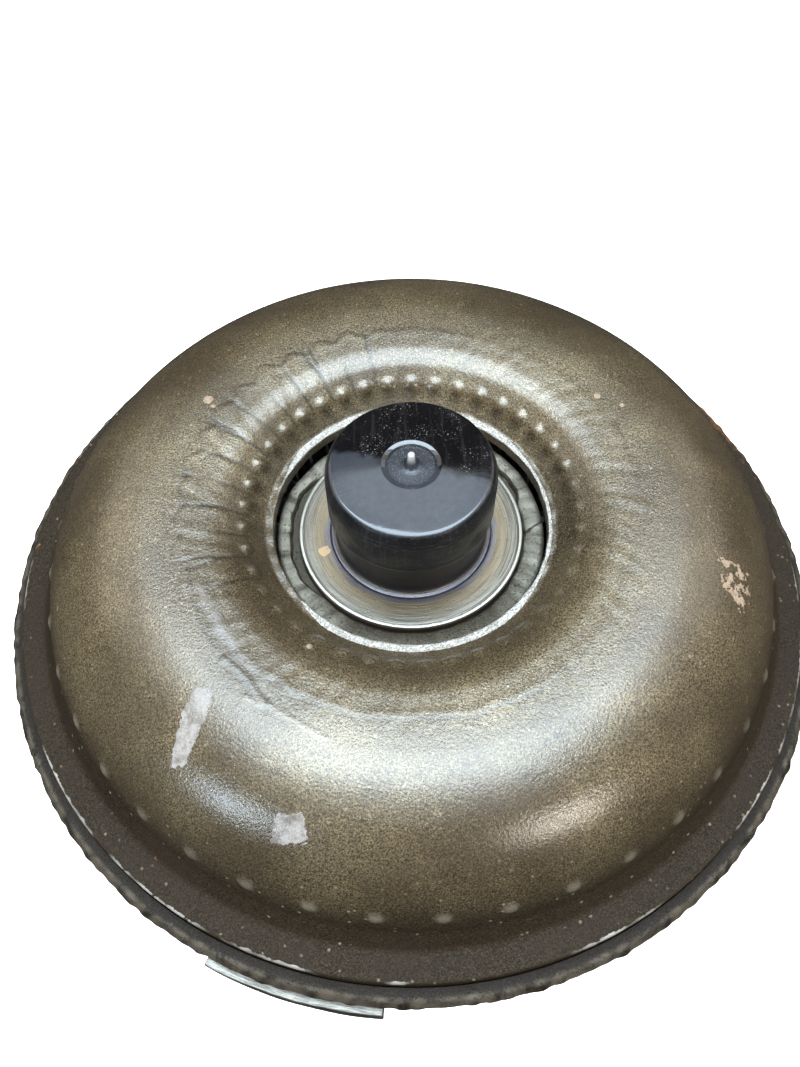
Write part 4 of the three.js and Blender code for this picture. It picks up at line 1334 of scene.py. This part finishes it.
def damper_springs(finish):
    """Coil springs between the damper's stops. Round wire follows a helix along the tangent of the spring
    circle, with a tight turn at both ends. The wire's circle lies in the plane of the outward direction
    and of that direction crossed with the helix's tangent."""
    wire, turns, end_pitch = 1.2, 7, 2.7
    half = SPRING_LENGTH / 2 - wire
    t = np.linspace(0, 1, 24 * turns + 1)[:, None]
    around = 2 * math.pi * np.linspace(0, 1, 12, endpoint=False)[None, :]
    turn = turns * t
    for number in range(1, SPRING_COUNT + 1):
        node = f"damper_spring_{number}"
        box_middle = (low_mm(node) + high_mm(node)) / 2
        pitch = 2 * math.pi / SPRING_COUNT
        direction = round(math.atan2(box_middle[1], box_middle[0]) / pitch) * pitch
        middle = np.array([
            math.cos(direction) * SPRING_CIRCLE_R,
            math.sin(direction) * SPRING_CIRCLE_R,
            SPRING_Z,
        ])
        along = np.interp(turn, [0, 1, turns - 1, turns], [-half, end_pitch - half, half - end_pitch, half])
        angle = 2 * math.pi * turn
        slope = np.gradient(along[:, 0], angle[:, 0])[:, None]
        norm = np.hypot(SPRING_COIL_R, slope)
        out = SPRING_COIL_R + wire * np.cos(around)
        side = wire * np.sin(around) / norm
        radial = out * np.cos(angle) - side * slope * np.sin(angle)
        length = along - side * SPRING_COIL_R
        up = out * np.sin(angle) + side * slope * np.cos(angle)
        x = middle[0] + radial * math.cos(direction) - length * math.sin(direction)
        y = middle[1] + radial * math.sin(direction) + length * math.cos(direction)
        spring = grid_piece(
            f"coil_{number}", x, y, middle[2] + up, False, finish, "spring_steel", (node,), body="damper"
        )
        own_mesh(spring)


def finish_inner_pieces():
    """Pieces out of sight keep their CAD shape and get the finish of their metal."""
    pressed = inner_metal("pressed_steel", (0.42, 0.40, 0.37), (0.20, 0.185, 0.165), 0.36, 0.9)
    bearing = inner_metal("bearing_steel", (0.60, 0.58, 0.55), (0.36, 0.34, 0.32), 0.24, 0.5)
    spring = inner_metal("spring_steel", (0.12, 0.11, 0.10), (0.05, 0.045, 0.04), 0.38, 0.6)
    cast = inner_metal("cast_aluminium", (0.62, 0.62, 0.62), (0.42, 0.42, 0.43), 0.46, 1.4)
    forged = inner_metal("forged_steel", (0.46, 0.42, 0.36), (0.24, 0.21, 0.18), 0.32, 0.6)
    plastic = inner_metal("washer_plastic", (0.045, 0.040, 0.034), (0.018, 0.016, 0.014), 0.55, 0.8, 0.0)
    damper_springs(spring)
    chosen = [
        (pressed, ("impeller_vanes", "turbine_shell", "turbine_vanes", "turbine_rivet", "lockup_piston")),
        (pressed, ("damper_retainer", "damper_driven_plate")),
        (forged, ("turbine_hub",)),
        (friction_paper(), ("friction_lining",)),
        (cast, ("stator_wheel", "stator_front_retainer", "stator_rear_retainer")),
        (bearing, ("stator_outer_race", "stator_inner_race", "overrun_roller")),
        (bearing, ("turbine_bearing", "stator_bearing")),
        (plastic, ("cover_thrust_washer",)),
    ]
    for node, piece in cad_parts.items():
        for material, starts in chosen:
            if node.startswith(starts):
                piece.data.materials.clear()
                piece.data.materials.append(material)


# ---- camera, floor and light ----------------------------------------------------------------------

CAMERA_AT = Vector((-3.494, -155.5, 329.437)) * MM
LOOK_DOWN = 58.23
ROLL = -0.63
LENS = 30.56
SENSOR = 36.0


def camera():
    data = bpy.data.cameras.new("camera")
    data.lens = LENS
    data.sensor_width = SENSOR
    data.clip_start = 0.01
    item = bpy.data.objects.new("camera", data)
    tilt = Matrix.Rotation(math.radians(90 - LOOK_DOWN), 4, "X")
    item.matrix_world = Matrix.Translation(CAMERA_AT) @ tilt @ Matrix.Rotation(math.radians(ROLL), 4, "Z")
    bpy.context.scene.collection.objects.link(item)
    bpy.context.scene.camera = item


def floor():
    """Pale floor. It lights nothing by reflection, so that the housing mirrors a dim room instead."""
    half = 6.0
    mesh = bpy.data.meshes.new("floor")
    corners = [(-half, -half, 0), (half, -half, 0), (half, half, 0), (-half, half, 0)]
    mesh.from_pydata(corners, [], [(0, 1, 2, 3)])
    item = bpy.data.objects.new("floor", mesh)
    item.location.z = -0.0004
    item.visible_glossy = False
    item.visible_diffuse = False
    material, n, place = begin("floor_pale")
    tone = n.spread(n.noise(place, 0.004, 2.0), 0.90, 0.94)
    shader = n.add("ShaderNodeBsdfPrincipled")
    n.feed(shader.inputs["Base Color"], n.joined(tone, tone, tone))
    shader.inputs["Roughness"].default_value = 0.9
    shader.inputs["Emission Color"].default_value = (1, 1, 1, 1)
    shader.inputs["Emission Strength"].default_value = 0.85
    out = n.add("ShaderNodeOutputMaterial")
    n.feed(out.inputs["Surface"], shader.outputs[0])
    mesh.materials.append(material)
    bpy.context.scene.collection.objects.link(item)


def softbox(name, azimuth, elevation, distance, width, depth, power, colour, gleams=True, fills=True):
    """A soft area light that faces the top of the converter from a direction given in degrees. It can be
    kept out of reflections, or give nothing but reflections."""
    data = bpy.data.lights.new(name, "AREA")
    data.shape = "RECTANGLE"
    data.size = width
    data.size_y = depth
    data.energy = power
    data.color = colour
    aim = Vector((0, 0, SHELL_TOP * MM))
    a, e = math.radians(azimuth), math.radians(elevation)
    back = Vector((math.cos(a) * math.cos(e), math.sin(a) * math.cos(e), math.sin(e)))
    item = bpy.data.objects.new(name, data)
    item.location = aim + back * distance
    item.visible_glossy = gleams
    item.visible_diffuse = fills
    item.rotation_mode = "QUATERNION"
    item.rotation_quaternion = (-back).to_track_quat("-Z", "Y")
    bpy.context.scene.collection.objects.link(item)


def room():
    """Dim room: a little brighter overhead than at the horizon, and white where the camera sees it."""
    world = bpy.data.worlds.new("room")
    bpy.context.scene.world = world
    world.use_nodes = True
    world.node_tree.nodes.clear()
    n = Nodes(world.node_tree)
    parts = n.add("ShaderNodeSeparateXYZ")
    n.feed(parts.inputs[0], n.add("ShaderNodeTexCoord").outputs["Generated"])
    up = n.ease(parts.outputs[2], 0.803, 0.815)
    glow = n.spread(up, 0.06, 2.2)
    tone = n.mix(up, (1.0, 0.94, 0.86), (0.78, 0.90, 1.0))
    seen = n.add("ShaderNodeLightPath").outputs["Is Camera Ray"]
    back = n.add("ShaderNodeBackground")
    n.feed(back.inputs["Color"], n.mix(seen, tone, (1, 1, 1)))
    n.feed(back.inputs["Strength"], n.blend(seen, glow, 1.1))
    out = n.add("ShaderNodeOutputWorld")
    n.feed(out.inputs["Surface"], back.outputs[0])


def light():
    cool = (0.70, 0.86, 1.0)
    warm = (1.0, 0.95, 0.88)
    softbox("overhead", 90, 86, 1.15, 1.0, 0.82, 31, cool, fills=False)
    softbox("fill", 265, 74, 1.3, 0.9, 0.9, 17, (1.0, 0.98, 0.94), gleams=False)
    softbox("front_left", 226, 24, 1.3, 0.30, 0.24, 6, cool)
    softbox("front_right", 306, 26, 1.3, 0.30, 0.24, 6, warm)
    softbox("left", 184, 32, 1.5, 0.9, 0.5, 20, warm, gleams=False)
    softbox("right", 356, 32, 1.5, 0.9, 0.5, 14, warm, gleams=False)
    softbox("left_window", 150, 42, 1.5, 1.0, 1.0, 5, warm, fills=False)
    softbox("right_window", 30, 42, 1.5, 1.0, 1.0, 5, warm, fills=False)


# ---- the scene -------------------------------------------------------------------------------------

camera()
floor()
room()
light()

cover_finish = cover_paint()
bead_finish = weld_paint("rim_weld_metal", (0.082, 0.071, 0.055), (0.010, 0.0075, 0.005), 0.05, 0.25)
hub_bead_finish = weld_paint("hub_weld_metal", (0.20, 0.19, 0.155), (0.045, 0.040, 0.029), 0.0, 0.6)

impeller_shell(shell_paint())
rim_weld(bead_finish)
hub_weld(hub_bead_finish)
impeller_hub(hub_steel())
shipping_cap(cap_rubber())
front_cover(cover_finish)
drive_lugs(cover_finish, bead_finish)
pilot_boss(cover_finish)
balance_weight(weight_steel())
finish_inner_pieces()

bpy.context.scene.view_settings.view_transform = "Standard"
